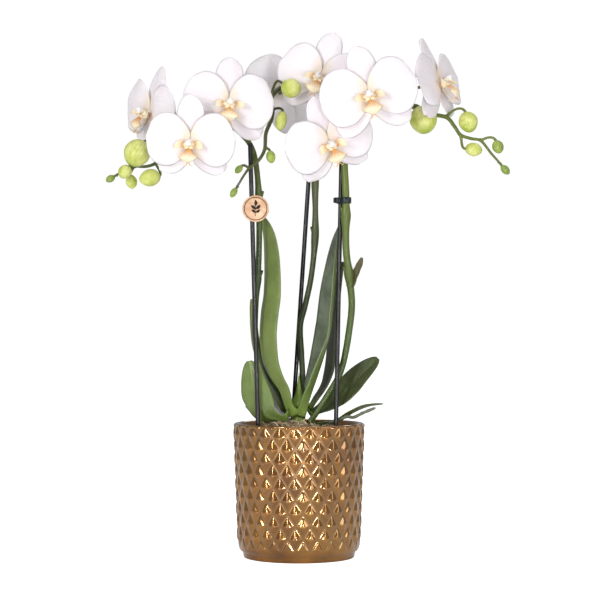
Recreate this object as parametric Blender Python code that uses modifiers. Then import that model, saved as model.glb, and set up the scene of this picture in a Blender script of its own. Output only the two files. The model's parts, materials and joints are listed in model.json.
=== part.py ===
"""A potted moth orchid: three staked flower spikes over a fan of strap leaves, in a stud-patterned pot.

Units are metres and +Z is up. The origin is the centre of the pot's flat base, and -Y is the side
that the flowers face. The plant's points are in millimetres, with heights counted from the pot's
rim, and on_plant() reads them.
"""
import math

import bmesh
import bpy
from mathutils import Matrix, Vector

MM = 0.001
GAP = 0.0004              # air left between pieces that touch
MERGE = 0.00005           # distance for welding a mesh's own seams

# Cover pot
POT_TOP_RADIUS = 0.0515   # over the grooves, at the rim
POT_LOW_RADIUS = 0.0482   # over the grooves, above the foot
POT_HEIGHT = 0.107
POT_WALL = 0.0042
POT_FLOOR = 0.006
FOOT_RADIUS = 0.0443
FOOT_HEIGHT = 0.0045
FOOT_FLARE = 0.0008
SHOULDER_HEIGHT = 0.0065  # the rounded step from the foot out to the wall
SHOULDER_ROUND = 0.0016
RIM_BAND = 0.0045         # plain band above the studs
RIM_ROUND = 0.0012
RIM_PROUD = 0.0004
STUDS_AROUND = 26
STUD_HALF_ROWS = 10
STUD_RELIEF = 0.0013

# Nursery pot inside the cover pot
NURSERY_PLAY = 0.0014     # between the nursery pot's lip and the cover pot
NURSERY_BELOW_RIM = 0.0060
NURSERY_TAPER = 0.0057    # how much more it narrows to its foot than the cover pot does
NURSERY_WALL = 0.0010
NURSERY_LIP = 0.0016
NURSERY_LIP_HEIGHT = 0.0040
TURNED_STEPS = 24

# Bark that fills the nursery pot
BARK_BELOW_LIP = 0.0030
BARK_DOME = 0.0070

# Crown, the short stem that carries the leaves, with a new leaf's point in its middle
CROWN_RADIUS = 0.0067     # where it is widest
CROWN_DEPTH_SHARE = 0.80
CROWN_NECK = 0.0048
CROWN_WIDEST = 0.0150     # heights above the pot's rim
CROWN_SHOULDER = 0.0230
CROWN_POINT = 0.0410
CROWN_BURIED = 0.0100

# Stakes and clips
STAKE_RADIUS = 0.0018
STAKE_BURIED = 0.0500     # how far a stake reaches below the pot's rim
CLIP_HEIGHT = 0.0050
CLIP_BAND = 0.0011
CLIP_TAB = 0.0055

# Name tag
TAG_RADIUS = 0.0105
TAG_THICKNESS = 0.0016
TAG_ASIDE = 0.0030        # how far its middle stands from the stake

# Leaves
LEAF_THICKNESS = 0.0017
CHANNEL_FADE = 0.7  # how much flatter a leaf's channel is at its tip than at its base
LEAF_ROWS = 9
LEAF_COLUMNS = 4

# Flowers, in the flower's own frame: X to the viewer's right, Y up, Z towards the viewer
HUB_RADIUS = 0.0032
TEPAL_THICKNESS = 0.0010
PETAL_LENGTH = 0.0360
PETAL_WIDTH = 0.0420
PETAL_RAISE = 8           # degrees above the horizontal
DORSAL_LENGTH = 0.0380
LATERAL_LENGTH = 0.0350
SEPAL_WIDTH = 0.0225
LATERAL_TURN = 132        # degrees from the dorsal sepal
LAYER_STEP = 0.0012       # sepals behind the hub's middle, petals in front of it
EDGE_ROLL = 0.0016        # how far the edges of petals and sepals curl back
COLUMN_LENGTH = 0.0085
LIP_LENGTH = 0.0125
SPIKE_STEPS = 2           # points of a spike's smooth axis for each of its given points
STEM_SWELL = 1.16         # how much a node swells a spike

# Air root that arches over the rim
ROOT_RADIUS = 0.0012
ROOT_LINE = [(24, -8.5, 0.5), (32, -9.5, 3), (38, -10, 5.5), (43.5, -10, 5), (51, -10, 8.5), (61, -9.5, 12.5)]

PEDICEL_RADIUS = 0.0012
BUD_PEDICEL_RADIUS = 0.0010

GREEN = (0.075, 0.155, 0.022, 1)
STEM_GREEN = (0.105, 0.165, 0.030, 1)
BUD_GREEN = (0.42, 0.52, 0.10, 1)
PETAL_WHITE = (0.86, 0.84, 0.83, 1)
LIP_YELLOW = (0.85, 0.55, 0.18, 1)
GOLD_GLAZE = (0.33, 0.19, 0.07, 1)
BARK_BROWN = (0.16, 0.09, 0.045, 1)
BLACK = (0.012, 0.012, 0.014, 1)
CLEAR_PLASTIC = (0.30, 0.31, 0.28, 1)
TAG_WOOD = (0.72, 0.44, 0.24, 1)

# Each leaf: points along its midrib from the crown outwards, full width, the share of that width at
# its clasping base, the directions its upper side faces from base to tip, and how deep its channel is.
LEAVES = {
    "leaf_left_front": dict(
        line=[(-10, -6, 14), (-13.5, -7.5, 25.5), (-19.6, -9, 35.5), (-25.4, -10.5, 50), (-27.5, -11, 69),
              (-25.9, -10, 89), (-24, -9, 104), (-23.4, -7, 128), (-24.8, -6, 148), (-29, -5, 164)],
        width=32, base=0.36, channel=0.17,
        faces=[(0.86, 0.42, 0.30), (0.84, 0.46, 0.30), (0.89, 0.45, 0.05), (0.88, 0.47, -0.05)]),
    "leaf_left_back": dict(
        line=[(-12, 10, 8), (-19, 14, 20), (-27, 19, 36), (-33, 22, 53), (-37, 23, 71), (-38, 22, 99)],
        width=27, base=0.34, channel=0.12,
        faces=[(0.82, 0.28, 0.50), (0.90, 0.30, 0.30), (0.94, 0.33, 0.05)]),
    "leaf_left_low": dict(
        line=[(-9, -8, 3), (-19, -11, 4), (-27, -12, 8), (-33, -12, 20), (-36, -12, 31), (-39.5, -11, 50)],
        width=26, base=0.40, channel=0.08,
        faces=[(0.25, 0.45, 0.85), (0.35, 0.75, 0.55), (0.35, 0.93, 0.10), (0.35, 0.93, 0.05)]),
    "leaf_left_small": dict(
        line=[(-11, 4, 2), (-22, 5, 1.5), (-33, 6, 4), (-43, 6, 13)],
        width=12, base=0.34, channel=0.12,
        faces=[(0.25, 0.0, 0.97), (0.55, -0.2, 0.80)]),
    "leaf_back_dark": dict(
        line=[(-8.5, 9, 0.5), (-14, 17, 5), (-19, 27, 11), (-22, 38, 17)],
        width=17, base=0.40, channel=0.10,
        faces=[(0.3, -0.35, 0.9), (0.1, -0.40, 0.9)]),
    "leaf_right_front": dict(
        line=[(5.6, -8, 14), (8.6, -7.5, 25), (12, -6, 35), (18.5, -4.5, 55), (23, -4, 73),
              (25, -4, 89), (26.8, -3, 108), (28.8, -1, 129), (31, 2, 149), (33, 4, 160)],
        width=31, base=0.42, channel=0.30,
        faces=[(-0.60, 0.78, 0.20), (-0.86, -0.10, 0.45), (-0.88, -0.36, 0.38), (-0.95, -0.22, 0.25),
               (-0.98, -0.10, 0.20)]),
    "leaf_right_back": dict(
        line=[(8.5, 6, 10), (13, 9, 17), (19, 13, 25), (24, 15, 34), (27, 17, 45), (28, 17, 65),
              (29.5, 16, 88), (33, 14, 115), (36, 13, 129)],
        width=24, base=0.34, channel=0.15,
        faces=[(-0.80, -0.20, 0.60), (-0.88, -0.28, 0.40), (-0.90, -0.30, 0.30)]),
    "leaf_right_broad": dict(
        line=[(8.8, 2, 5.5), (16, 3.5, 9.5), (26, 4.5, 15.5), (37, 5, 25), (48, 5.5, 37), (63.5, 6, 51.5)],
        width=28, base=0.32, channel=0.10,
        faces=[(-0.40, -0.30, 0.85), (-0.42, -0.58, 0.70), (-0.42, -0.64, 0.64)]),
    "leaf_right_low": dict(
        line=[(9, 0.5, -0.2), (20, 0, -0.4), (32, -1, 2), (43, -3, 9), (55, -5, 14), (67, -6, 15.5)],
        width=11, base=0.30, channel=0.16,
        faces=[(-0.1, 0.05, 0.97), (-0.2, 0.20, 0.95)]),
    "bract_right": dict(
        line=[(45, -12.5, 114), (46.7, -12.5, 122), (50, -12, 132)],
        width=6, base=0.80, channel=0.30,
        faces=[(-0.9, -0.1, 0.4), (-0.85, -0.2, 0.5)]),
}

# Each spike: points from the crown to its tip, the stem's radius at even shares of its length, and the
# points where a node swells the stem.
SPIKES = {
    "spike_left": dict(
        line=[(-8.8, 3.2, 5), (-11.5, 3.8, 14), (-16, 4.2, 23), (-24, 5.5, 36), (-31, 5.5, 53), (-35, 3, 69),
              (-34.8, -8, 90), (-33, -13, 115), (-31.7, -15, 138), (-31.7, -16, 177), (-34, -16, 205),
              (-38, -15, 220), (-46, -14, 230), (-55, -13, 237), (-70, -12, 244), (-83, -11, 246),
              (-95, -10, 241), (-103, -9, 229), (-108, -9, 216), (-114, -11, 207), (-122, -14, 204),
              (-131, -16, 204), (-139, -18, 200), (-144, -19, 197)],
        radii=(2.2, 2.5, 2.3, 1.9, 1.4, 0.9), nodes=(7, 9)),
    "spike_middle": dict(
        line=[(1, 9.5, 6), (3, 11, 30), (2, 13, 54), (1, 14, 77), (5, 15, 94), (10, 16, 118),
              (13, 16, 150), (13, 15, 195), (13, 11, 236), (10, 7, 255), (4, 4, 266), (-4, 1, 271),
              (-14, -3, 268), (-22, -11, 259), (-21, -18, 248), (-22, -23, 240), (-26, -29, 229),
              (-27, -33, 216), (-32, -35, 207), (-39, -37, 201), (-44, -38, 194), (-48, -38, 187)],
        radii=(2.4, 2.3, 2.2, 1.9, 1.4, 0.8), nodes=(6, 7)),
    "spike_right": dict(
        line=[(8.8, -6, 1.5), (13, -7, 7), (18, -7, 15), (25, -6, 26), (31.5, -5, 37), (36, -5, 51),
              (40, -6, 74), (42, -9, 96), (39.5, -13, 119), (37.2, -16, 140), (37, -17.5, 165), (37, -18, 184),
              (36, -17, 209), (38, -14, 232), (44, -12, 248), (55, -10, 260), (68, -10, 266), (83, -10, 261),
              (90, -12, 252), (104, -13, 246), (117, -14, 243), (123, -15, 236), (128, -16, 229),
              (136, -17, 226), (144, -18, 224), (152, -19, 214), (159, -20, 206)],
        radii=(2.3, 2.6, 2.9, 2.2, 1.5, 0.9), nodes=(8, 10)),
}

# Each flower: hub, the way it faces, how far it leans to the viewer's left, its size, its spike and
# the point of that spike which its stalk leaves from.
FLOWERS = {
    "flower_left_outer": dict(hub=(-118, -12, 247), face=(-0.82, -0.57, 0.0), lean=-14, size=0.98,
                              spike="spike_left", point=16, rise=9),
    "flower_left_middle": dict(hub=(-84, -56, 220), face=(-0.10, -0.97, -0.22), lean=-2, size=0.96,
                               spike="spike_left", point=15, rise=-2),
    "flower_left_inner": dict(hub=(-55, -40, 251), face=(0.15, -0.98, 0.03), lean=-4, size=1.0,
                              spike="spike_left", point=13, rise=2),
    "flower_back": dict(hub=(-16, 27, 267), face=(-0.20, 0.96, 0.18), lean=38, size=0.92,
                        spike="spike_middle", point=11, rise=2),
    "flower_middle_top": dict(hub=(17, -18, 274), face=(-0.20, -0.97, 0.03), lean=-15, size=0.96,
                              spike="spike_middle", point=10, rise=2),
    "flower_middle_low": dict(hub=(24, -38, 221), face=(0.20, -0.94, -0.26), lean=22, size=0.98,
                              spike="spike_middle", point=8, rise=2),
    "flower_right_inner": dict(hub=(54, -58, 256), face=(0.0, -1.0, -0.06), lean=13, size=1.04,
                               spike="spike_right", point=15, rise=2),
    "flower_right_outer": dict(hub=(110, -22, 269), face=(0.82, -0.50, 0.22), lean=6, size=0.98,
                               spike="spike_right", point=17, rise=4),
}

# Each bud: middle, the way its tip points, length, thickness, its spike and the point of that spike
# which its stalk leaves from. rise lifts the stalk's bend.
BUDS = {
    "bud_left_1": dict(at=(-128, -22, 214), tip=(-0.45, -0.35, -0.82), length=20, width=18.5,
                       spike="spike_left", point=18, rise=3),
    "bud_left_2": dict(at=(-118, -17, 195), tip=(-0.96, -0.1, -0.2), length=15, width=12,
                       spike="spike_left", point=19, rise=0),
    "bud_left_3": dict(at=(-137, -26, 199), tip=(-0.5, -0.5, -0.7), length=10.5, width=9.5,
                       spike="spike_left", point=21, rise=3),
    "bud_left_4": dict(at=(-133, -12, 192), tip=(0.2, 0.1, -0.97), length=10, width=8,
                       spike="spike_left", point=21, rise=-1),
    "bud_left_tip": dict(at=(-149, -20, 194), tip=(-0.8, -0.1, -0.5), length=7, width=5,
                         spike="spike_left", point=23, rise=0),
    "bud_middle_1": dict(at=(-6, -24, 265), tip=(0.75, -0.60, -0.25), length=15, width=13.5,
                         spike="spike_middle", point=13, rise=14),
    "bud_middle_2": dict(at=(-14, -27, 239), tip=(-0.2, -0.2, -0.95), length=14, width=8,
                         spike="spike_middle", point=14, rise=3),
    "bud_middle_3": dict(at=(-28, -22, 244), tip=(-0.25, 0.1, -0.95), length=9, width=5,
                         spike="spike_middle", point=15, rise=2),
    "bud_middle_4": dict(at=(-22, -37, 210), tip=(0.15, -0.2, -0.95), length=9, width=6.5,
                         spike="spike_middle", point=17, rise=2),
    "bud_middle_5": dict(at=(-47, -41, 200), tip=(-0.6, -0.3, -0.7), length=7, width=4.6,
                         spike="spike_middle", point=19, rise=1),
    "bud_middle_tip": dict(at=(-51, -39, 182), tip=(-0.5, -0.1, -0.85), length=7.5, width=4.6,
                           spike="spike_middle", point=21, rise=0),
    "bud_right_1": dict(at=(98, -24, 240), tip=(0.15, -0.55, -0.82), length=21, width=19,
                        spike="spike_right", point=18, rise=3),
    "bud_right_2": dict(at=(134, -17, 239), tip=(0.25, -0.2, -0.95), length=15, width=13.5,
                        spike="spike_right", point=20, rise=6),
    "bud_right_3": dict(at=(138, -21, 217), tip=(0.95, -0.2, -0.15), length=12, width=9.5,
                        spike="spike_right", point=22, rise=-4),
    "bud_right_4": dict(at=(157, -22, 219), tip=(0.3, -0.15, -0.94), length=9.5, width=8,
                        spike="spike_right", point=24, rise=3),
    "bud_right_tip": dict(at=(163, -20, 201), tip=(0.65, 0.0, -0.76), length=8, width=5.5,
                          spike="spike_right", point=26, rise=0),
}

# Each stake: its seat at the rim's height, as shares of the bark's radius, its top, the spike it is
# tied to, the height of the clip, and which side of the clip has the tabs.
STAKES = {
    "stake_left": dict(seat=(-0.765, -0.415), top=(-38.5, -25, 222), spike="spike_left", clip=170, tab=-1),
    "stake_middle": dict(seat=(-0.122, 0.460), top=(9.5, 20.5, 221), spike="spike_middle", clip=205, tab=1),
    "stake_right": dict(seat=(0.692, -0.302), top=(33.8, -12, 215), spike="spike_right", clip=177, tab=1),
}


def on_plant(point):
    """A point given in millimetres, its height counted from the pot's rim."""
    return Vector(point) * MM + Vector((0, 0, POT_HEIGHT))


def clear_scene():
    for obj in list(bpy.data.objects):
        bpy.data.objects.remove(obj)


def new_collection(name):
    collection = bpy.data.collections.new(name)
    bpy.context.scene.collection.children.link(collection)
    return collection


def material(name, colour, roughness, metallic=0.0):
    made = bpy.data.materials.new(name)
    made.use_nodes = True
    shader = made.node_tree.nodes["Principled BSDF"]
    shader.inputs["Base Color"].default_value = colour
    shader.inputs["Roughness"].default_value = roughness
    shader.inputs["Metallic"].default_value = metallic
    return made


def add_object(name, data, collection, finish=None):
    obj = bpy.data.objects.new(name, data)
    collection.objects.link(obj)
    if finish and not data.materials:
        data.materials.append(finish)
    return obj


def mesh_from(bm, name):
    bmesh.ops.recalc_face_normals(bm, faces=bm.faces)
    mesh = bpy.data.meshes.new(name)
    bm.to_mesh(mesh)
    bm.free()
    return mesh


def frozen(obj):
    """The object's evaluated shape as a plain mesh with its caps welded; the object is removed."""
    graph = bpy.context.evaluated_depsgraph_get()
    mesh = bpy.data.meshes.new_from_object(obj.evaluated_get(graph))
    mesh.transform(obj.matrix_world)
    bm = bmesh.new()
    bm.from_mesh(mesh)
    bmesh.ops.remove_doubles(bm, verts=bm.verts, dist=MERGE)
    bm.to_mesh(mesh)
    bm.free()
    bpy.data.objects.remove(obj)
    return mesh


def combine(target, tool, operation):
    """Joins tool to target, or cuts it away, and keeps tool as a hidden helper."""
    tool.hide_render = True
    tool.display_type = "WIRE"
    modifier = target.modifiers.new(operation.title(), "BOOLEAN")
    modifier.operation = operation
    modifier.object = tool


def smooth_line(points, per_span):
    """Points on a Catmull-Rom curve through the given ones, per_span to each stretch."""
    ends = [2 * points[0] - points[1], *points, 2 * points[-1] - points[-2]]
    line = []
    for a, b, c, d in zip(ends, ends[1:], ends[2:], ends[3:]):
        for step in range(per_span):
            t = step / per_span
            line.append(0.5 * (2 * b + (c - a) * t + (2 * a - 5 * b + 4 * c - d) * t ** 2
                               + (3 * b - 3 * c + d - a) * t ** 3))
    return [*line, points[-1]]


def bezier_line(a, b, c, d, steps):
    line = []
    for step in range(steps + 1):
        t = step / steps
        s = 1 - t
        line.append(s ** 3 * a + 3 * s * s * t * b + 3 * s * t * t * c + t ** 3 * d)
    return line


def tube(name, line, radii, helpers):
    """The mesh of a closed tube along line, with its own radius at each point."""
    curve = bpy.data.curves.new(name, "CURVE")
    curve.dimensions = "3D"
    curve.bevel_depth = 1.0
    curve.bevel_resolution = 1
    curve.use_fill_caps = True
    spline = curve.splines.new("POLY")
    spline.points.add(len(line) - 1)
    for place, co, radius in zip(spline.points, line, radii):
        place.co = (*co, 1)
        place.radius = radius
    obj = bpy.data.objects.new(name, curve)
    helpers.objects.link(obj)
    bpy.context.view_layer.update()
    return frozen(obj)


def turned(name, profile, collection, finish, steps=TURNED_STEPS):
    """A profile of (radius, height) from its outer top down, round and up, turned about Z."""
    mesh = bpy.data.meshes.new(name)
    points = [(radius, 0, height) for radius, height in profile]
    mesh.from_pydata(points, [(i, i + 1) for i in range(len(points) - 1)], [])
    obj = add_object(name, mesh, collection, finish)
    screw = obj.modifiers.new("Turn", "SCREW")
    screw.steps = steps
    screw.render_steps = steps
    screw.use_merge_vertices = True
    screw.merge_threshold = MERGE
    return obj


def facing_matrix(place, face, lean, size):
    """The frame of a flower: Z the way it faces, Y up, turned by lean to the viewer's left."""
    out = Vector(face).normalized()
    right = Vector((0, 0, 1)).cross(out).normalized()
    up = out.cross(right)
    turn = Matrix((right, up, out)).transposed().to_4x4()
    return (Matrix.Translation(place) @ turn @ Matrix.Rotation(math.radians(lean), 4, "Z")
            @ Matrix.Scale(size, 4))


def pot_wall_radius(height):
    """Radius over the grooves between the studs."""
    low = FOOT_HEIGHT + SHOULDER_HEIGHT
    share = (height - low) / (POT_HEIGHT - low)
    return POT_LOW_RADIUS + (POT_TOP_RADIUS - POT_LOW_RADIUS) * share


def ring(bm, radius, height, turn=0.0):
    step = math.tau / STUDS_AROUND
    return [bm.verts.new((radius * math.cos((i + turn) * step), radius * math.sin((i + turn) * step), height))
            for i in range(STUDS_AROUND)]


def bridge(bm, low, high):
    for i in range(STUDS_AROUND):
        j = (i + 1) % STUDS_AROUND
        bm.faces.new((low[i], low[j], high[j], high[i]))


def studded_wall(bm):
    """The lattice of pyramid studs; returns its lowest and highest rings."""
    low = FOOT_HEIGHT + SHOULDER_HEIGHT
    high = POT_HEIGHT - RIM_BAND
    rings = []
    for row in range(STUD_HALF_ROWS + 1):
        height = low + (high - low) * row / STUD_HALF_ROWS
        rings.append(ring(bm, pot_wall_radius(height), height, turn=0.5 * (row % 2)))
    diamonds = []
    for row, level in enumerate(rings):
        for i in range(STUDS_AROUND):
            j = (i + 1) % STUDS_AROUND
            between = j if row % 2 else i
            if row == 0:
                bm.faces.new((level[i], level[j], rings[1][between]))
            elif row == STUD_HALF_ROWS:
                bm.faces.new((level[j], level[i], rings[-2][between]))
            else:
                around = (rings[row - 1][between], level[j], rings[row + 1][between], level[i])
                diamonds.append(bm.faces.new(around))
    bmesh.ops.recalc_face_normals(bm, faces=bm.faces)
    bmesh.ops.poke(bm, faces=diamonds, offset=STUD_RELIEF)
    return rings[0], rings[-1]


def cover_pot(collection, finish):
    """The pot: the studded wall between a plain stepped foot and a plain rounded rim."""
    bm = bmesh.new()
    wall_low, wall_high = studded_wall(bm)
    foot = ring(bm, FOOT_RADIUS, 0)
    foot_top = ring(bm, FOOT_RADIUS + FOOT_FLARE, FOOT_HEIGHT)
    shoulder = ring(bm, POT_LOW_RADIUS - SHOULDER_ROUND, FOOT_HEIGHT + SHOULDER_HEIGHT * 0.35)
    bridge(bm, foot, foot_top)
    bridge(bm, foot_top, shoulder)
    bridge(bm, shoulder, wall_low)
    bm.faces.new(foot)
    last = wall_high
    for radius, height in (
        (POT_TOP_RADIUS + RIM_PROUD, POT_HEIGHT - RIM_ROUND),
        (POT_TOP_RADIUS - RIM_ROUND, POT_HEIGHT),
        (POT_TOP_RADIUS - POT_WALL + RIM_ROUND, POT_HEIGHT),
        (POT_TOP_RADIUS - POT_WALL, POT_HEIGHT - RIM_ROUND),
        (POT_LOW_RADIUS - POT_WALL, FOOT_HEIGHT + SHOULDER_HEIGHT),
        (FOOT_RADIUS - POT_WALL, POT_FLOOR),
    ):
        level = ring(bm, radius, height)
        bridge(bm, last, level)
        last = level
    bm.faces.new(last)
    return add_object("cover_pot", mesh_from(bm, "cover_pot"), collection, finish)


def nursery_top():
    return POT_HEIGHT - NURSERY_BELOW_RIM


def nursery_foot():
    return POT_FLOOR + GAP


def nursery_radius(height):
    """Outer radius of the nursery pot's wall at a height: it follows the cover pot, and narrows more."""
    below = (nursery_top() - height) / (nursery_top() - nursery_foot())
    return pot_wall_radius(height) - POT_WALL - NURSERY_PLAY - NURSERY_LIP - NURSERY_TAPER * below


def nursery_pot(collection, finish):
    top, foot = nursery_top(), nursery_foot()
    under_lip = top - NURSERY_LIP_HEIGHT
    lip_radius = nursery_radius(top) + NURSERY_LIP
    profile = [
        (lip_radius, top),
        (lip_radius, under_lip),
        (nursery_radius(under_lip), under_lip),
        (nursery_radius(foot), foot),
        (0, foot),
        (0, foot + NURSERY_WALL),
        (nursery_radius(foot) - NURSERY_WALL, foot + NURSERY_WALL),
        (nursery_radius(top) - NURSERY_WALL, top),
        (lip_radius, top),
    ]
    return turned("nursery_pot", profile, collection, finish)


def bark_edge():
    return nursery_top() - BARK_BELOW_LIP


def bark_radius(height):
    return nursery_radius(height) - NURSERY_WALL - GAP


def bark(collection, helpers, finish, cutters):
    """The bark plug, mounded to the middle, with holes for the stakes and a socket for the crown."""
    foot, edge = nursery_foot() + NURSERY_WALL + GAP, bark_edge()
    radius = bark_radius(edge)
    profile = [
        (0, edge + BARK_DOME),
        (radius * 0.45, edge + BARK_DOME * 0.86),
        (radius * 0.80, edge + BARK_DOME * 0.42),
        (radius, edge),
        (bark_radius(foot), foot),
        (0, foot),
    ]
    plug = turned("bark_plug", profile, helpers, None)
    bpy.context.view_layer.update()
    obj = add_object("bark", frozen(plug), collection, finish)
    for cutter in cutters:
        combine(obj, cutter, "DIFFERENCE")
    return obj


def crown_solid(name, grow, collection, helpers, finish=None):
    """The crown: a narrow neck, a bulge where the leaves part and a new leaf's point, grown by grow."""
    profile = [
        (0, POT_HEIGHT + CROWN_POINT + grow),
        (CROWN_RADIUS * 0.18 + grow, POT_HEIGHT + (CROWN_POINT + CROWN_SHOULDER) / 2),
        (CROWN_RADIUS * 0.45 + grow, POT_HEIGHT + CROWN_SHOULDER),
        (CROWN_RADIUS + grow, POT_HEIGHT + CROWN_WIDEST),
        (CROWN_NECK + grow, POT_HEIGHT),
        (CROWN_NECK + grow, bark_edge() + BARK_DOME - CROWN_BURIED - grow),
        (0, bark_edge() + BARK_DOME - CROWN_BURIED - grow),
    ]
    core = turned(name + "_core", profile, helpers, None, steps=12)
    bpy.context.view_layer.update()
    mesh = frozen(core)
    mesh.transform(Matrix.Diagonal((1, CROWN_DEPTH_SHARE, 1, 1)))
    return add_object(name, mesh, collection, finish)


def stake_line(stake):
    """A stake's foot and top: it passes its seat in the bark at the height of the rim."""
    radius = bark_radius(bark_edge())
    seat = Vector((stake["seat"][0] * radius, stake["seat"][1] * radius, POT_HEIGHT))
    top = on_plant(stake["top"])
    return seat + (seat - top) * STAKE_BURIED / (top.z - seat.z), top


def stake_solid(name, foot, top, grow, collection, finish=None):
    """A round rod from foot to top, thickened by grow."""
    axis = top - foot
    bm = bmesh.new()
    bmesh.ops.create_cone(bm, cap_ends=True, segments=10, radius1=STAKE_RADIUS + grow,
                          radius2=STAKE_RADIUS + grow, depth=axis.length + 2 * grow)
    obj = add_object(name, mesh_from(bm, name), collection, finish)
    obj.location = (foot + top) / 2
    obj.rotation_euler = axis.to_track_quat("Z", "Y").to_euler()
    return obj


def spike_path(line, radii, nodes):
    """Points along a spike's axis, and its radius at each, swollen at its nodes."""
    path = smooth_line([on_plant(point) for point in line], SPIKE_STEPS)
    sizes = []
    for i in range(len(path)):
        place = i / (len(path) - 1) * (len(radii) - 1)
        low = min(int(place), len(radii) - 2)
        size = radii[low] + (radii[low + 1] - radii[low]) * (place - low)
        sizes.append(size * MM * (STEM_SWELL if i / SPIKE_STEPS in nodes else 1))
    return path, sizes


def at_height(path, height):
    """Where a line first passes a height, and the number of its stretch."""
    for i, (a, b) in enumerate(zip(path, path[1:])):
        if a.z <= height <= b.z:
            return a.lerp(b, (height - a.z) / (b.z - a.z)), i
    raise ValueError("the line doesn't reach that height")


def half_circle(centre, radius, start):
    """Seven points over half a turn, from the angle start."""
    return [(centre + radius * math.cos(start + math.pi * i / 6), radius * math.sin(start + math.pi * i / 6))
            for i in range(7)]


def clip(name, stem, stem_radius, rod, side, collection, finish):
    """A spring clip: an oval band round stem and stake, with finger tabs on one side."""
    across = rod - stem
    across.z = 0
    reach = across.length
    up = math.pi / 2
    band = [*half_circle(0, stem_radius + GAP + CLIP_BAND, up),
            *half_circle(reach, STAKE_RADIUS + GAP + CLIP_BAND, -up)]
    hole = [*half_circle(0, stem_radius + GAP, up), *half_circle(reach, STAKE_RADIUS + GAP, -up)]
    edge = stem_radius + GAP + CLIP_BAND * 0.8
    tab = [(reach * 0.40, edge), (reach * 0.45, edge + CLIP_TAB), (reach * 0.10, edge + CLIP_TAB),
           (reach * 0.15, edge)]
    if side > 0:
        outline = [*band, *tab]
    else:
        tab = [(x, -y) for x, y in reversed(tab)]
        outline = [*band[:7], *tab, *band[7:]]
    curve = bpy.data.curves.new(name, "CURVE")
    curve.dimensions = "2D"
    curve.fill_mode = "BOTH"
    curve.extrude = CLIP_HEIGHT / 2
    for points in (outline, hole):
        spline = curve.splines.new("POLY")
        spline.points.add(len(points) - 1)
        spline.use_cyclic_u = True
        for place, (x, y) in zip(spline.points, points):
            place.co = (x, y, 0, 1)
    curve.materials.append(finish)
    obj = bpy.data.objects.new(name, curve)
    collection.objects.link(obj)
    obj.location = stem
    obj.rotation_euler = (0, 0, math.atan2(across.y, across.x))
    return obj


def name_tag(rod, collection, finish):
    """A plain round wooden tag that stands just in front of the left stake's clip."""
    bm = bmesh.new()
    bmesh.ops.create_cone(bm, cap_ends=True, segments=28, radius1=TAG_RADIUS, radius2=TAG_RADIUS,
                          depth=TAG_THICKNESS)
    obj = add_object("name_tag", mesh_from(bm, "name_tag"), collection, finish)
    behind = STAKE_RADIUS + GAP + CLIP_BAND + GAP + TAG_THICKNESS / 2
    obj.location = rod + Vector((TAG_ASIDE, -behind, 0))
    obj.rotation_euler = (math.radians(90), 0, 0)
    return obj


def blend_along(values, t):
    """A direction between evenly spaced ones, at share t of the way."""
    place = t * (len(values) - 1)
    low = min(int(place), len(values) - 2)
    return Vector(values[low]).lerp(Vector(values[low + 1]), place - low)


def leaf_width(t, base):
    """Share of full width: a narrow clasping base, widest past the middle, a blunt tip."""
    rise = base + (1 - base) * math.sin(min(t / 0.62, 1) * math.pi / 2) ** 1.6
    fall = math.sqrt(max(0.0, 1 - (max(t - 0.62, 0) / 0.39) ** 2))
    return rise * fall


def leaf(name, line, width, base, channel, faces, collection, finish):
    """A strap leaf: a channelled surface along its midrib, given its thickness by Solidify."""
    points = smooth_line([on_plant(point) for point in line], 4)
    bm = bmesh.new()
    rows = []
    for row in range(LEAF_ROWS + 1):
        t = row / LEAF_ROWS
        place = t * (len(points) - 1)
        index = min(int(place), len(points) - 2)
        centre = points[index].lerp(points[index + 1], place - index)
        along = (points[min(index + 2, len(points) - 1)] - points[max(index - 1, 0)]).normalized()
        across = along.cross(blend_along(faces, t)).normalized()
        up = across.cross(along)
        half = 0.5 * width * MM * leaf_width(t, base)
        fold = channel * (1 - CHANNEL_FADE * t)
        verts = []
        for column in range(LEAF_COLUMNS + 1):
            s = 2 * column / LEAF_COLUMNS - 1
            verts.append(bm.verts.new(centre + half * (across * s + up * fold * 2 * s * s)))
        rows.append(verts)
    for low, high in zip(rows, rows[1:]):
        for i in range(LEAF_COLUMNS):
            bm.faces.new((low[i], low[i + 1], high[i + 1], high[i]))
    obj = add_object(name, mesh_from(bm, name), collection, finish)
    solid = obj.modifiers.new("Thickness", "SOLIDIFY")
    solid.thickness = LEAF_THICKNESS
    solid.offset = 0
    return obj


def tepal_width(t, base):
    """Share of full width for a petal or sepal: narrow at the base, broad, round at the tip."""
    rise = base + (1 - base) * math.sin(min(t / 0.58, 1) * math.pi / 2)
    fall = math.sqrt(max(0.0, 1 - (max(t - 0.58, 0) / 0.43) ** 2))
    return rise * fall


def tepal(angle, length, width, base, layer, cup, reflex, rows, columns, helpers):
    """One petal or sepal as a thin solid in the flower's frame, lying along an angle from +X."""
    bm = bmesh.new()
    grid = []
    for row in range(rows + 1):
        t = row / rows
        half = 0.5 * width * tepal_width(t, base)
        verts = []
        for column in range(columns + 1):
            s = 2 * column / columns - 1
            lift = layer + cup * math.sin(t * math.pi * 0.55) - reflex * t * t - EDGE_ROLL * s * s * t
            verts.append(bm.verts.new((length * t, half * s, lift)))
        grid.append(verts)
    for low, high in zip(grid, grid[1:]):
        for i in range(columns):
            bm.faces.new((low[i], high[i], high[i + 1], low[i + 1]))
    bmesh.ops.rotate(bm, matrix=Matrix.Rotation(math.radians(angle), 3, "Z"), verts=bm.verts)
    obj = add_object("tepal", mesh_from(bm, "tepal"), helpers)
    solid = obj.modifiers.new("Thickness", "SOLIDIFY")
    solid.thickness = TEPAL_THICKNESS
    solid.offset = 0
    bpy.context.view_layer.update()
    return add_object("tepal_solid", frozen(obj), helpers)


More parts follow.
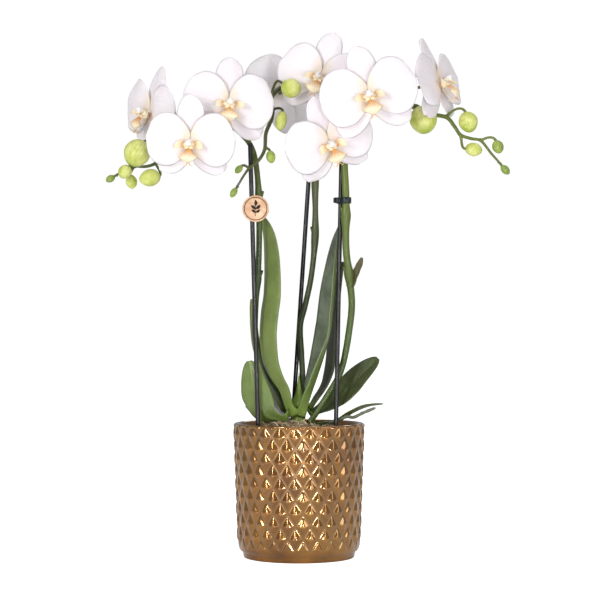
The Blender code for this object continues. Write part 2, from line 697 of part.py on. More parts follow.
def ball(name, size, place, tilt, segments, rings, helpers):
    """An ellipsoid of the given half sizes, tilted about X."""
    bm = bmesh.new()
    bmesh.ops.create_uvsphere(bm, u_segments=segments, v_segments=rings, radius=1)
    matrix = (Matrix.Translation(place) @ Matrix.Rotation(math.radians(tilt), 4, "X")
              @ Matrix.Diagonal((*size, 1)))
    bmesh.ops.transform(bm, matrix=matrix, verts=bm.verts)
    return add_object(name, mesh_from(bm, name), helpers)


def joined_mesh(parts, name, finish):
    """One mesh from overlapping solids, which are removed."""
    base, *others = parts
    for other in others:
        combine(base, other, "UNION")
    bpy.context.view_layer.update()
    mesh = frozen(base)
    for other in others:
        bpy.data.objects.remove(other)
    mesh.name = name
    mesh.materials.clear()
    mesh.materials.append(finish)
    return mesh


def tepals_mesh(helpers, finish):
    """Three sepals behind and two broad petals in front, grown together at the hub."""
    parts = [ball("hub", (HUB_RADIUS, HUB_RADIUS, HUB_RADIUS), (0, 0, 0), 0, 8, 6, helpers)]
    for angle in (PETAL_RAISE, 180 - PETAL_RAISE):
        parts.append(tepal(angle, PETAL_LENGTH, PETAL_WIDTH, 0.16, LAYER_STEP, 0.0030, 0.0040, 6, 4, helpers))
    sepals = [(90, DORSAL_LENGTH), (90 + LATERAL_TURN, LATERAL_LENGTH), (90 - LATERAL_TURN, LATERAL_LENGTH)]
    for angle, length in sepals:
        parts.append(tepal(angle, length, SEPAL_WIDTH, 0.24, -LAYER_STEP, 0.0, 0.0040, 5, 2, helpers))
    return joined_mesh(parts, "tepals", finish)


def lip_mesh(helpers, finish):
    """The column above, the lip's middle lobe below it and a raised lobe on each side."""
    front = HUB_RADIUS + GAP
    parts = [
        ball("lip_base", (0.0058, 0.0022, 0.0026), (0, -0.0020, front + 0.0036), 0, 6, 4, helpers),
        ball("column", (0.0023, 0.0024, COLUMN_LENGTH / 2), (0, 0.0004, front + COLUMN_LENGTH / 2),
             0, 6, 4, helpers),
        ball("middle_lobe", (0.0042, LIP_LENGTH / 2, 0.0017), (0, -0.0066, front + 0.0052), 26, 6, 4, helpers),
    ]
    for side in (-1, 1):
        parts.append(ball("side_lobe", (0.0018, 0.0046, 0.0038), (side * 0.0042, -0.0020, front + 0.0046),
                          -18, 6, 4, helpers))
    return joined_mesh(parts, "lip", finish)


def bud_mesh(finish):
    """A bud one unit long and one thick, along Z with its tip up: an egg with a blunt point."""
    bm = bmesh.new()
    bmesh.ops.create_uvsphere(bm, u_segments=8, v_segments=6, radius=0.5)
    for vert in bm.verts:
        taper = 1 - 0.6 * max(vert.co.z, 0)
        vert.co.x *= taper
        vert.co.y *= taper
    mesh = mesh_from(bm, "bud")
    mesh.materials.append(finish)
    return mesh


def stalk_line(start, end, into, rise):
    """A flower's or bud's stalk: out of the stem, over its bend and straight into what it carries."""
    span = (end - start).length
    lift = Vector((0, 0, rise * MM))
    return bezier_line(start, start.lerp(end, 0.25) + lift, end - into * span * 0.38 + lift * 0.4, end, 5)


def spike(name, path, sizes, stalks, collection, helpers, finish):
    """A flower spike: its tapering axis with a stalk for each flower and bud it carries."""
    obj = add_object(name, tube(name + "_axis", path, sizes, helpers), collection, finish)
    for route, radius in stalks:
        stalk = tube(name + "_stalk", route, [radius] * len(route), helpers)
        combine(obj, add_object(name + "_stalk", stalk, helpers), "UNION")
    return obj


def flowers(collection, helpers, petal_finish, lip_finish):
    """Every open flower; yields its spike, the point its stalk leaves from, and the stalk's end."""
    tepals = tepals_mesh(helpers, petal_finish)
    lip = lip_mesh(helpers, lip_finish)
    for name, made in FLOWERS.items():
        hub = on_plant(made["hub"])
        frame = facing_matrix(hub, made["face"], made["lean"], made["size"])
        for part, mesh in (("tepals", tepals), ("lip", lip)):
            add_object(f"{name}_{part}", mesh, collection).matrix_world = frame
        into = frame.to_3x3().col[2].normalized()
        end = hub - into * (HUB_RADIUS * made["size"] + GAP)
        yield made["spike"], made["point"], end, into, made["rise"], PEDICEL_RADIUS


def buds(collection, finish):
    """Every bud; yields what flowers() yields."""
    bud = bud_mesh(finish)
    for name, made in BUDS.items():
        tip = Vector(made["tip"]).normalized()
        obj = add_object(name, bud, collection)
        obj.location = on_plant(made["at"])
        obj.rotation_euler = tip.to_track_quat("Z", "Y").to_euler()
        obj.scale = Vector((made["width"], made["width"], made["length"])) * MM
        end = on_plant(made["at"]) - tip * (made["length"] * MM / 2 + GAP)
        yield made["spike"], made["point"], end, tip, made["rise"], BUD_PEDICEL_RADIUS


def build():
    clear_scene()
    plant = new_collection("potted_orchid")
    helpers = new_collection("cutters")
    helpers.hide_render = True

    leaf_finish = material("leaf", GREEN, 0.38)
    stem_finish = material("stem", STEM_GREEN, 0.45)
    stake_finish = material("stake", BLACK, 0.5)
    clip_finish = material("clip", BLACK, 0.4)
    tag_finish = material("tag_wood", TAG_WOOD, 0.6)

    cover_pot(plant, material("gold_glaze", GOLD_GLAZE, 0.18, 0.6))
    nursery_pot(plant, material("clear_plastic", CLEAR_PLASTIC, 0.25))
    crown_solid("crown", 0, plant, helpers, leaf_finish)

    cutters = [crown_solid("crown_socket", GAP, helpers, helpers)]
    for name, stake in STAKES.items():
        foot, top = stake_line(stake)
        stake_solid(name, foot, top, 0, plant, stake_finish)
        cutters.append(stake_solid(name + "_hole", foot, top, GAP, helpers))
    bark(plant, helpers, material("bark", BARK_BROWN, 0.9), cutters)

    for name, made in LEAVES.items():
        leaf(name, collection=plant, finish=leaf_finish, **made)
    root = smooth_line([on_plant(point) for point in ROOT_LINE], 2)
    add_object("air_root", tube("air_root", root, [ROOT_RADIUS] * len(root), helpers), plant, stem_finish)

    stalks = {name: [] for name in SPIKES}
    paths = {name: spike_path(**made) for name, made in SPIKES.items()}
    carried = [*flowers(plant, helpers, material("petal", PETAL_WHITE, 0.5), material("lip", LIP_YELLOW, 0.45)),
               *buds(plant, material("bud", BUD_GREEN, 0.4))]
    for spike_name, point, end, into, rise, radius in carried:
        start = on_plant(SPIKES[spike_name]["line"][point])
        stalks[spike_name].append((stalk_line(start, end, into, rise), radius))
    for name, (path, sizes) in paths.items():
        spike(name, path, sizes, stalks[name], plant, helpers, stem_finish)

    for name, stake in STAKES.items():
        height = POT_HEIGHT + stake["clip"] * MM
        path, sizes = paths[stake["spike"]]
        stem, stretch = at_height(path, height)
        rod, _ = at_height(stake_line(stake), height)
        clip(name.replace("stake", "clip"), stem, max(sizes[stretch:stretch + 2]), rod, stake["tab"],
             plant, clip_finish)
        if name == "stake_left":
            name_tag(rod, plant, tag_finish)


build()
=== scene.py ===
# Potted moth orchid: the finished look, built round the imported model.
import json
import math
import random

import bmesh
import bpy
from mathutils import Matrix, Vector, noise

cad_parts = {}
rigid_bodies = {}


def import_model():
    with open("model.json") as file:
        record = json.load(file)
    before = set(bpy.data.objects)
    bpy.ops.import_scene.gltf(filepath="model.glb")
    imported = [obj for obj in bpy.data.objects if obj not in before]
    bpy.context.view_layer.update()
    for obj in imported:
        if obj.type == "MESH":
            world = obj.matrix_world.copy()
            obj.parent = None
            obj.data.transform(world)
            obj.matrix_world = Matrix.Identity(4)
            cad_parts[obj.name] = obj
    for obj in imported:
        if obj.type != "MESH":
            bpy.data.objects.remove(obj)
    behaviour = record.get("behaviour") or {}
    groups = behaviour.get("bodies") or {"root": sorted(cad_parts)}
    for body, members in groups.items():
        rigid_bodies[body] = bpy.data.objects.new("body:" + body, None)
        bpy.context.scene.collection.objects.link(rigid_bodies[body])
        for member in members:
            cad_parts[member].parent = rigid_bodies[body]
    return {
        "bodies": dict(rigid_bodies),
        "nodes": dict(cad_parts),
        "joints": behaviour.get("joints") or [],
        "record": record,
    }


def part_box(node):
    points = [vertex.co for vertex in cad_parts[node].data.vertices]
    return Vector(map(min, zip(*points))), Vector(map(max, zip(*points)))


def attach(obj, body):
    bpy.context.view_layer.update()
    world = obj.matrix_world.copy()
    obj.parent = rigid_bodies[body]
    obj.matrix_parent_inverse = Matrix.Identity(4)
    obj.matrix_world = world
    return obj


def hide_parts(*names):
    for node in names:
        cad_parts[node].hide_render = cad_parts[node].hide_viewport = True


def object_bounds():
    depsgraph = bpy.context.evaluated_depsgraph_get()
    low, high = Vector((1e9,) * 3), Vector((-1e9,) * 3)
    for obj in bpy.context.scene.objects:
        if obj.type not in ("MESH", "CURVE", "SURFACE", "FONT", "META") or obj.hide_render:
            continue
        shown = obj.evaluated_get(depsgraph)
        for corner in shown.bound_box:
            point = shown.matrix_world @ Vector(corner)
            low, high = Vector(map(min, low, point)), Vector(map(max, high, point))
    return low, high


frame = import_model()
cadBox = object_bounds()
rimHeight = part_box("cover_pot")[1].z
mm = 0.001
weld = 1e-6             # points closer than this are one
print("frame loaded, pot rim at", round(rimHeight, 4))


# the plant's points are in millimetres, with heights counted from the pot's rim
def onPlant(point):
    return Vector(point) * mm + Vector((0, 0, rimHeight))


# a table's rows, each made a dictionary of its own
def rowsOf(keys, table):
    return {name: dict(zip(keys, row)) for name, row in table.items()}


def addObject(name, data):
    made = bpy.data.objects.new(name, data)
    bpy.context.scene.collection.objects.link(made)
    return made


def camelName(node):
    first, *rest = node.split("_")
    return first + "".join(word.title() for word in rest)


def smoothLine(points, perSpan):
    ends = [2 * points[0] - points[1], *points, 2 * points[-1] - points[-2]]
    line = []
    for a, b, c, d in zip(ends, ends[1:], ends[2:], ends[3:]):
        for step in range(perSpan):
            t = step / perSpan
            line.append(0.5 * (2 * b + (c - a) * t + (2 * a - 5 * b + 4 * c - d) * t ** 2
                               + (3 * b - 3 * c + d - a) * t ** 3))
    return [*line, points[-1]]


def bezierLine(a, b, c, d, steps):
    line = []
    for step in range(steps + 1):
        t = step / steps
        s = 1 - t
        line.append(s ** 3 * a + 3 * s * s * t * b + 3 * s * t * t * c + t ** 3 * d)
    return line


def between(values, t):
    place = t * (len(values) - 1)
    low = min(int(place), len(values) - 2)
    return values[low] * (1 - place + low) + values[low + 1] * (place - low)


def atHeight(path, height):
    for a, b in zip(path, path[1:]):
        if a.z <= height <= b.z:
            return a.lerp(b, (height - a.z) / (b.z - a.z))


# mesh building: a shell collects points and faces before it becomes one mesh
def newShell():
    return {"points": [], "faces": [], "uv": [], "side": [], "shade": [], "slot": []}


def addPoint(shell, co, uv=(0, 0), side=0.0, shade=0.0):
    shell["points"].append(tuple(co))
    shell["uv"].append(uv)
    shell["side"].append(side)
    shell["shade"].append(shade)
    return len(shell["points"]) - 1


def addFace(shell, corners, slot=0):
    shell["faces"].append(corners)
    shell["slot"].append(slot)


def shellMesh(name, shell, *materials):
    mesh = bpy.data.meshes.new(name)
    mesh.from_pydata(shell["points"], [], shell["faces"])
    layer = mesh.uv_layers.new(name="surface")
    for loop in mesh.loops:
        layer.data[loop.index].uv = shell["uv"][loop.vertex_index]
    for key in ("side", "shade"):
        mesh.attributes.new(key, "FLOAT", "POINT").data.foreach_set("value", shell[key])
    for made in materials:
        mesh.materials.append(made)
    mesh.polygons.foreach_set("material_index", shell["slot"])
    return sewn(mesh)


# doubles merged, faces outwards, shaded smooth
def sewn(mesh):
    bm = bmesh.new()
    bm.from_mesh(mesh)
    bmesh.ops.remove_doubles(bm, verts=bm.verts, dist=weld)
    bmesh.ops.dissolve_degenerate(bm, edges=bm.edges, dist=weld)
    bmesh.ops.recalc_face_normals(bm, faces=bm.faces)
    for face in bm.faces:
        face.smooth = True
    bm.to_mesh(mesh)
    bm.free()
    return mesh


# a thin blade: pointAt(s, t) is its middle surface, s from -1 to 1 across and t from 0 to 1 along
def addBlade(shell, pointAt, thicknessAt, rows, columns, shade=None, tip=1.8, slot=0):
    grid = []
    for i in range(rows + 1):
        t = 1 - (1 - i / rows) ** tip
        grid.append([pointAt(2 * j / columns - 1, t) for j in range(columns + 1)])
    front, back = {}, {}
    for i in range(rows + 1):
        t = 1 - (1 - i / rows) ** tip
        for j in range(columns + 1):
            s = 2 * j / columns - 1
            uv = (j / columns, t)
            tone = shade(s, t) if shade else t
            if i in (0, rows) or j in (0, columns):
                front[i, j] = back[i, j] = addPoint(shell, grid[i][j], uv, 0.5, tone)
                continue
            along = grid[i + 1][j] - grid[i - 1][j]
            across = grid[i][j + 1] - grid[i][j - 1]
            lift = across.cross(along).normalized() * thicknessAt(s, t) / 2
            front[i, j] = addPoint(shell, grid[i][j] + lift, uv, 0.0, tone)
            back[i, j] = addPoint(shell, grid[i][j] - lift, uv, 1.0, tone)
    for i in range(rows):
        for j in range(columns):
            corners = ((i, j), (i, j + 1), (i + 1, j + 1), (i + 1, j))
            addFace(shell, [front[c] for c in corners], slot)
            addFace(shell, [back[c] for c in reversed(corners)], slot)


# a tube along a line, with a radius at each point and closed ends
def addTube(shell, line, radii, sides, slot=0, side=0.0, squash=1.0):
    last = None
    across = None
    for i, centre in enumerate(line):
        along = (line[min(i + 1, len(line) - 1)] - line[max(i - 1, 0)]).normalized()
        if across is None:
            across = along.orthogonal().normalized()
        across = (across - along * across.dot(along)).normalized()
        up = along.cross(across)
        t = i / (len(line) - 1)
        ring = []
        for k in range(sides):
            angle = math.tau * k / sides
            spoke = across * math.cos(angle) + up * math.sin(angle) * squash
            ring.append(addPoint(shell, centre + spoke * radii[i], (k / sides, t), side, t))
        if last:
            for k in range(sides):
                n = (k + 1) % sides
                addFace(shell, [last[k], last[n], ring[n], ring[k]], slot)
        else:
            addFace(shell, ring[::-1], slot)
        last = ring
    addFace(shell, last, slot)


# an egg of given half sizes, placed by a matrix; ridge shapes it round its Z axis
def addEgg(shell, matrix, size, segments, rings, slot=0, side=0.0, ridge=None):
    levels = []
    for i in range(rings + 1):
        polar = math.pi * i / rings
        if i in (0, rings):
            co = matrix @ Vector((0, 0, -size[2] * math.cos(polar)))
            levels.append([addPoint(shell, co, (0.5, i / rings), side, i / rings)])
            continue
        level = []
        for k in range(segments):
            angle = math.tau * k / segments
            grow = ridge(angle, i / rings) if ridge else 1
            co = Vector((size[0] * math.sin(polar) * math.cos(angle) * grow,
                         size[1] * math.sin(polar) * math.sin(angle) * grow, -size[2] * math.cos(polar)))
            level.append(addPoint(shell, matrix @ co, (k / segments, i / rings), side, i / rings))
        levels.append(level)
    for low, high in zip(levels, levels[1:]):
        for k in range(segments):
            n = (k + 1) % segments
            corners = [low[k % len(low)], low[n % len(low)], high[n % len(high)], high[k % len(high)]]
            addFace(shell, list(dict.fromkeys(corners)), slot)


# a profile of (radius, height) turned about Z; a radius of 0 closes it
def addTurned(shell, profile, columns, turn=0.0, split=None, weight=None, slot=0):
    last = None
    for i, (radius, height) in enumerate(profile):
        studs = weight(i) if weight else 0.0
        if radius == 0:
            ring = [addPoint(shell, (0, 0, height), (0, i / len(profile)), 0, studs)] * columns
        else:
            ring = []
            for k in range(columns):
                angle = turn + math.tau * k / columns
                co = (radius * math.sin(angle), -radius * math.cos(angle), height)
                ring.append(addPoint(shell, co, (k / columns, i / len(profile)), 0, studs))
        for k in range(columns if last else 0):
            n = (k + 1) % columns
            quad = [last[k], last[n], ring[n], ring[k]]
            way = split(i - 1, k) if split else 0
            if way == 0:
                addFace(shell, list(dict.fromkeys(quad)), slot)
            else:
                a, b, c, d = quad if way > 0 else quad[1:] + quad[:1]
                addFace(shell, [a, b, c], slot)
                addFace(shell, [a, c, d], slot)
        last = ring


def addPiece(name, mesh, slot, *nodes):
    piece = addObject(name, mesh)
    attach(piece, "root")
    if nodes:
        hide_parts(*nodes)
        low = Vector([min(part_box(node)[0][axis] for node in nodes) for axis in range(3)])
        high = Vector([max(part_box(node)[1][axis] for node in nodes) for axis in range(3)])
        mine = [Vector([pick(v.co[axis] for v in mesh.vertices) for axis in range(3)]) for pick in (min, max)]
        off = max(*(abs(x) for x in mine[0] - low), *(abs(x) for x in mine[1] - high)) / mm
        if off > 3:
            print("  ", name, "differs from its solid's box by", round(off, 1), "mm")
    return piece


# node trees
def addNode(tree, kind, inputs=None, **settings):
    node = tree.nodes.new(kind)
    for key, value in settings.items():
        setattr(node, key, value)
    for key, value in (inputs or {}).items():
        if isinstance(value, bpy.types.NodeSocket):
            tree.links.new(value, node.inputs[key])
        else:
            node.inputs[key].default_value = value
    return node


def maths(tree, operation, *values):
    return addNode(tree, "ShaderNodeMath", dict(enumerate(values)), operation=operation).outputs[0]


def times(tree, a, b):
    return maths(tree, "MULTIPLY", a, b)


def minus(tree, a, b):
    return maths(tree, "SUBTRACT", a, b)


def plus(tree, a, b):
    return maths(tree, "ADD", a, b)


def vectorMaths(tree, operation, *values, output=0):
    return addNode(tree, "ShaderNodeVectorMath", dict(enumerate(values)), operation=operation).outputs[output]


def scaled(tree, vector, factor):
    return addNode(tree, "ShaderNodeVectorMath", {0: vector, "Scale": factor}, operation="SCALE").outputs[0]


def remap(tree, value, low, high, toLow=0.0, toHigh=1.0):
    return addNode(tree, "ShaderNodeMapRange", {0: value, 1: low, 2: high, 3: toLow, 4: toHigh},
                   interpolation_type="SMOOTHSTEP").outputs[0]


def mixed(tree, factor, a, b, blend="MIX"):
    return addNode(tree, "ShaderNodeMix", {0: factor, 6: a, 7: b}, data_type="RGBA", blend_type=blend).outputs[2]


def newGroup(name, kind, inputs, outputs):
    tree = bpy.data.node_groups.new(name, kind)
    for label, (socketKind, value) in inputs.items():
        socket = tree.interface.new_socket(name=label, in_out="INPUT", socket_type="NodeSocket" + socketKind)
        if value is not None:
            socket.default_value = value
    for label, socketKind in outputs.items():
        tree.interface.new_socket(name=label, in_out="OUTPUT", socket_type="NodeSocket" + socketKind)
    return tree, tree.nodes.new("NodeGroupInput").outputs, tree.nodes.new("NodeGroupOutput").inputs


# the end of every geometry tree: its instances made real, and one material on the whole
def closeTree(tree, geometry, material, out, soft=True):
    shaded = addNode(tree, "GeometryNodeSetShadeSmooth", {"Geometry": geometry, "Shade Smooth": soft})
    real = addNode(tree, "GeometryNodeRealizeInstances", {"Geometry": shaded.outputs[0]})
    coated = addNode(tree, "GeometryNodeSetMaterial", {"Geometry": real.outputs[0], "Material": material})
    tree.links.new(coated.outputs[0], out["Geometry"])


# runs a geometry tree on a mesh and returns the result as a plain mesh
def grown(name, mesh, tree, values):
    carrier = addObject(name + "Carrier", mesh)
    modifier = carrier.modifiers.new(tree.name, "NODES")
    modifier.node_group = tree
    for item in tree.interface.items_tree:
        if item.item_type == "SOCKET" and item.in_out == "INPUT" and item.name in values:
            modifier[item.identifier] = values[item.name]
    bpy.context.view_layer.update()
    result = bpy.data.meshes.new_from_object(carrier.evaluated_get(bpy.context.evaluated_depsgraph_get()))
    result.name = name
    bpy.data.objects.remove(carrier)
    return result


# effects that several materials share
mottleGroup, given, out = newGroup(
    "softMottle", "ShaderNodeTree",
    {"Vector": ("Vector", None), "Scale": ("Float", 40.0), "Contrast": ("Float", 0.5),
     "Dark": ("Color", (0, 0, 0, 1)), "Light": ("Color", (1, 1, 1, 1))},
    {"Color": "Color", "Amount": "Float"})
cloud = addNode(mottleGroup, "ShaderNodeTexNoise",
                {"Vector": given["Vector"], "Scale": given["Scale"], "Detail": 5.0, "Roughness": 0.6})
spread = times(mottleGroup, given["Contrast"], 0.25)
amount = remap(mottleGroup, cloud.outputs[0], minus(mottleGroup, 0.5, spread),
               plus(mottleGroup, 0.5, spread))
mottleGroup.links.new(mixed(mottleGroup, amount, given["Dark"], given["Light"]), out["Color"])
mottleGroup.links.new(amount, out["Amount"])

veinGroup, given, out = newGroup(
    "lengthVeins", "ShaderNodeTree",
    {"Vector": ("Vector", None), "Count": ("Float", 14.0), "Wander": ("Float", 0.5), "Width": ("Float", 0.2)},
    {"Mask": "Float"})
wander = addNode(veinGroup, "ShaderNodeTexNoise", {"Vector": given["Vector"], "Scale": 3.5, "Detail": 3.0})
acrossVeins = addNode(veinGroup, "ShaderNodeSeparateXYZ", {0: given["Vector"]}).outputs[0]
drift = times(veinGroup, minus(veinGroup, wander.outputs[0], 0.5), given["Wander"])
veinPlace = plus(veinGroup, times(veinGroup, acrossVeins, given["Count"]), drift)
fromVein = maths(veinGroup, "PINGPONG", veinPlace, 0.5)
veinGroup.links.new(remap(veinGroup, fromVein, 0.0, given["Width"], 1.0, 0.0), out["Mask"])

spotGroup, given, out = newGroup(
    "scatteredSpots", "ShaderNodeTree",
    {"Vector": ("Vector", None), "Scale": ("Float", 900.0), "Size": ("Float", 0.3), "Share": ("Float", 0.4)},
    {"Mask": "Float"})
cells = addNode(spotGroup, "ShaderNodeTexVoronoi", {"Vector": given["Vector"], "Scale": given["Scale"]})
chosen = addNode(spotGroup, "ShaderNodeSeparateXYZ", {0: cells.outputs["Color"]}).outputs[0]
dot = remap(spotGroup, cells.outputs["Distance"], times(spotGroup, given["Size"], 0.5),
            given["Size"], 1.0, 0.0)
spotGroup.links.new(times(spotGroup, dot, maths(spotGroup, "LESS_THAN", chosen, given["Share"])),
                    out["Mask"])

grainGroup, given, out = newGroup(
    "fineGrain", "ShaderNodeTree",
    {"Vector": ("Vector", None), "Scale": ("Float", 800.0), "Stretch": ("Vector", (1, 1, 1))},
    {"Height": "Float"})
drawn = vectorMaths(grainGroup, "MULTIPLY", given["Vector"], given["Stretch"])
grain = addNode(grainGroup, "ShaderNodeTexNoise", {"Vector": drawn, "Scale": given["Scale"], "Detail": 4.0})
grainGroup.links.new(grain.outputs[0], out["Height"])


def placed(tree, group, **values):
    node = addNode(tree, "ShaderNodeGroup", node_tree=group)
    for key, value in values.items():
        if isinstance(value, bpy.types.NodeSocket):
            tree.links.new(value, node.inputs[key])
        else:
            node.inputs[key].default_value = value
    return node


# a new material: its tree, its Principled shader, and the coordinates that its patterns read
def newMaterial(name, **shaderValues):
    made = bpy.data.materials.new(name)
    made.use_nodes = True
    tree = made.node_tree
    shader = tree.nodes["Principled BSDF"]
    for key, value in shaderValues.items():
        shader.inputs[key.replace("_", " ")].default_value = value
    where = addNode(tree, "ShaderNodeTexCoord")
    return made, tree, shader, where.outputs["Object"], where.outputs["UV"]


def readAttribute(tree, name):
    return addNode(tree, "ShaderNodeAttribute", attribute_name=name).outputs["Fac"]


def bump(tree, shader, height, distance, strength=0.6):
    node = addNode(tree, "ShaderNodeBump", {"Height": height, "Distance": distance, "Strength": strength})
    tree.links.new(node.outputs[0], shader.inputs["Normal"])


def feed(tree, shader, **sockets):
    for key, value in sockets.items():
        tree.links.new(value, shader.inputs[key.replace("_", " ")])


# golden brown glaze that runs darker in the grooves and thinner on the studs
glazeFinish = {"dark": (0.17, 0.062, 0.012, 1), "light": (0.44, 0.185, 0.028, 1), "olive": (0.34, 0.19, 0.036, 1),
               "groove": (0.27, 0.145, 0.050, 1), "metallic": 0.72, "coat": 1.0}


def glazeMaterial():
    made, tree, shader, co, uv = newMaterial("goldGlaze", Metallic=glazeFinish["metallic"],
                                             Coat_Weight=glazeFinish["coat"], Coat_Roughness=0.05)
    body = placed(tree, mottleGroup, Vector=co, Scale=42.0, Contrast=1.0, Dark=glazeFinish["dark"],
                  Light=glazeFinish["light"])
    patches = placed(tree, mottleGroup, Vector=co, Scale=17.0, Contrast=0.7)
    colour = mixed(tree, times(tree, patches.outputs["Amount"], 0.45), body.outputs["Color"],
                   glazeFinish["olive"])
    inGroove = remap(tree, readAttribute(tree, "relief"), 0.0, 0.30, 0.5, 0.0)
    pinholes = placed(tree, spotGroup, Vector=co, Scale=520.0, Size=0.16, Share=0.18)
    colour = mixed(tree, inGroove, colour, glazeFinish["groove"])
    colour = mixed(tree, times(tree, pinholes.outputs[0], 0.5), colour, glazeFinish["groove"])
    ripple = placed(tree, grainGroup, Vector=co, Scale=150.0)
    rough = remap(tree, body.outputs["Amount"], 0.0, 1.0, 0.17, 0.09)
    feed(tree, shader, Base_Color=colour, Roughness=rough)
    bump(tree, shader, minus(tree, ripple.outputs[0], pinholes.outputs[0]), 0.0004, 0.35)
    return made


def plasticMaterial():
    made, tree, shader, co, uv = newMaterial("clearPlastic", Transmission_Weight=0.6, IOR=1.46)
    haze = placed(tree, mottleGroup, Vector=co, Scale=60.0, Contrast=0.8, Dark=(0.46, 0.43, 0.36, 1),
                  Light=(0.74, 0.74, 0.68, 1))
    scuff = placed(tree, grainGroup, Vector=co, Scale=300.0, Stretch=(1, 1, 0.1))
    feed(tree, shader, Base_Color=haze.outputs["Color"], Roughness=remap(tree, scuff.outputs[0], 0.3, 0.7, 0.2, 0.42))
    bump(tree, shader, scuff.outputs[0], 0.0003, 0.3)
    return made


def barkMaterial(name, dark, light, fibre):
    made, tree, shader, co, uv = newMaterial(name, Roughness=0.88)
    body = placed(tree, mottleGroup, Vector=co, Scale=110.0, Contrast=1.0, Dark=dark, Light=light)
    strands = placed(tree, grainGroup, Vector=co, Scale=240.0, Stretch=fibre)
    flecks = placed(tree, spotGroup, Vector=co, Scale=420.0, Size=0.3, Share=0.3)
    colour = mixed(tree, remap(tree, strands.outputs[0], 0.35, 0.6, 0.65, 0.0), body.outputs["Color"], dark)
    colour = mixed(tree, times(tree, flecks.outputs[0], 0.4), colour, light)
    feed(tree, shader, Base_Color=colour)
    bump(tree, shader, strands.outputs[0], 0.0012, 0.8)
    return made


# upper side dark and glossy, underside paler and matte, both with veins along the leaf
def leafMaterial(name, upper, lower, gloss, warm=(0.10, 0.035, 0.05, 1), warmShare=0.0, rim=(0.20, 0.29, 0.06, 1),
                 baseShare=0.65):
    made, tree, shader, co, uv = newMaterial(name, Coat_Weight=gloss * 0.4, Coat_Roughness=0.2,
                                             Specular_IOR_Level=0.5, Subsurface_Scale=0.001)
    dark, light = ((*(c * k for c in upper), 1) for k in (0.62, 1.35))
    top = placed(tree, mottleGroup, Vector=co, Scale=65.0, Contrast=0.9, Dark=dark, Light=light)
    dark, light = ((*(c * k for c in lower), 1) for k in (0.8, 1.2))
    under = placed(tree, mottleGroup, Vector=co, Scale=45.0, Contrast=0.9, Dark=dark, Light=light)
    veins = placed(tree, veinGroup, Vector=uv, Count=22.0, Wander=0.8, Width=0.32)
    side = readAttribute(tree, "side")
    colour = mixed(tree, side, top.outputs["Color"], under.outputs["Color"])
    colour = mixed(tree, times(tree, veins.outputs[0], 0.22), colour, (0.05, 0.11, 0.015, 1))
    middle = maths(tree, "COMPARE", addNode(tree, "ShaderNodeSeparateXYZ", {0: uv}).outputs[0], 0.5, 0.045)
    colour = mixed(tree, times(tree, middle, 0.25), colour, rim)
    edge = maths(tree, "ABSOLUTE", minus(tree, side, 0.5))
    colour = mixed(tree, remap(tree, edge, 0.0, 0.35, 0.55, 0.0), colour, rim)
    flush = placed(tree, mottleGroup, Vector=co, Scale=30.0, Contrast=1.0)
    colour = mixed(tree, times(tree, flush.outputs["Amount"], warmShare), colour, warm)
    speck = placed(tree, spotGroup, Vector=co, Scale=700.0, Size=0.25, Share=0.2)
    colour = mixed(tree, times(tree, speck.outputs[0], 0.15), colour, rim)
    clasp = remap(tree, readAttribute(tree, "shade"), 0.03, 0.20, baseShare, 0.0)
    colour = mixed(tree, clasp, colour, (0.20, 0.31, 0.045, 1))
    rough = remap(tree, side, 0.3, 0.7, 0.48 - 0.22 * gloss, 0.55)
    feed(tree, shader, Base_Color=colour, Roughness=rough)
    bump(tree, shader, minus(tree, veins.outputs[0], times(tree, middle, 0.6)), 0.0003, 0.45)
    return made


def stemMaterial(name, low, high, lowHeight, highHeight, flushColour, flushShare):
    made, tree, shader, co, uv = newMaterial(name, Specular_IOR_Level=0.45, Coat_Weight=0.1)
    height = addNode(tree, "ShaderNodeSeparateXYZ", {0: co}).outputs[2]
    rise = remap(tree, height, lowHeight, highHeight)
    colour = mixed(tree, rise, low, high)
    flush = placed(tree, mottleGroup, Vector=co, Scale=70.0, Contrast=0.8)
    colour = mixed(tree, times(tree, flush.outputs["Amount"], flushShare), colour, flushColour)
    dots = placed(tree, spotGroup, Vector=co, Scale=1300.0, Size=0.3, Share=0.35)
    colour = mixed(tree, times(tree, dots.outputs[0], 0.3), colour, flushColour)
    fibre = placed(tree, grainGroup, Vector=co, Scale=900.0, Stretch=(1, 1, 0.12))
    colour = mixed(tree, remap(tree, fibre.outputs[0], 0.4, 0.65, 0.0, 0.25), colour, high)
    feed(tree, shader, Base_Color=colour, Roughness=remap(tree, fibre.outputs[0], 0.3, 0.7, 0.36, 0.5))
    bump(tree, shader, fibre.outputs[0], 0.00025, 0.5)
    return made


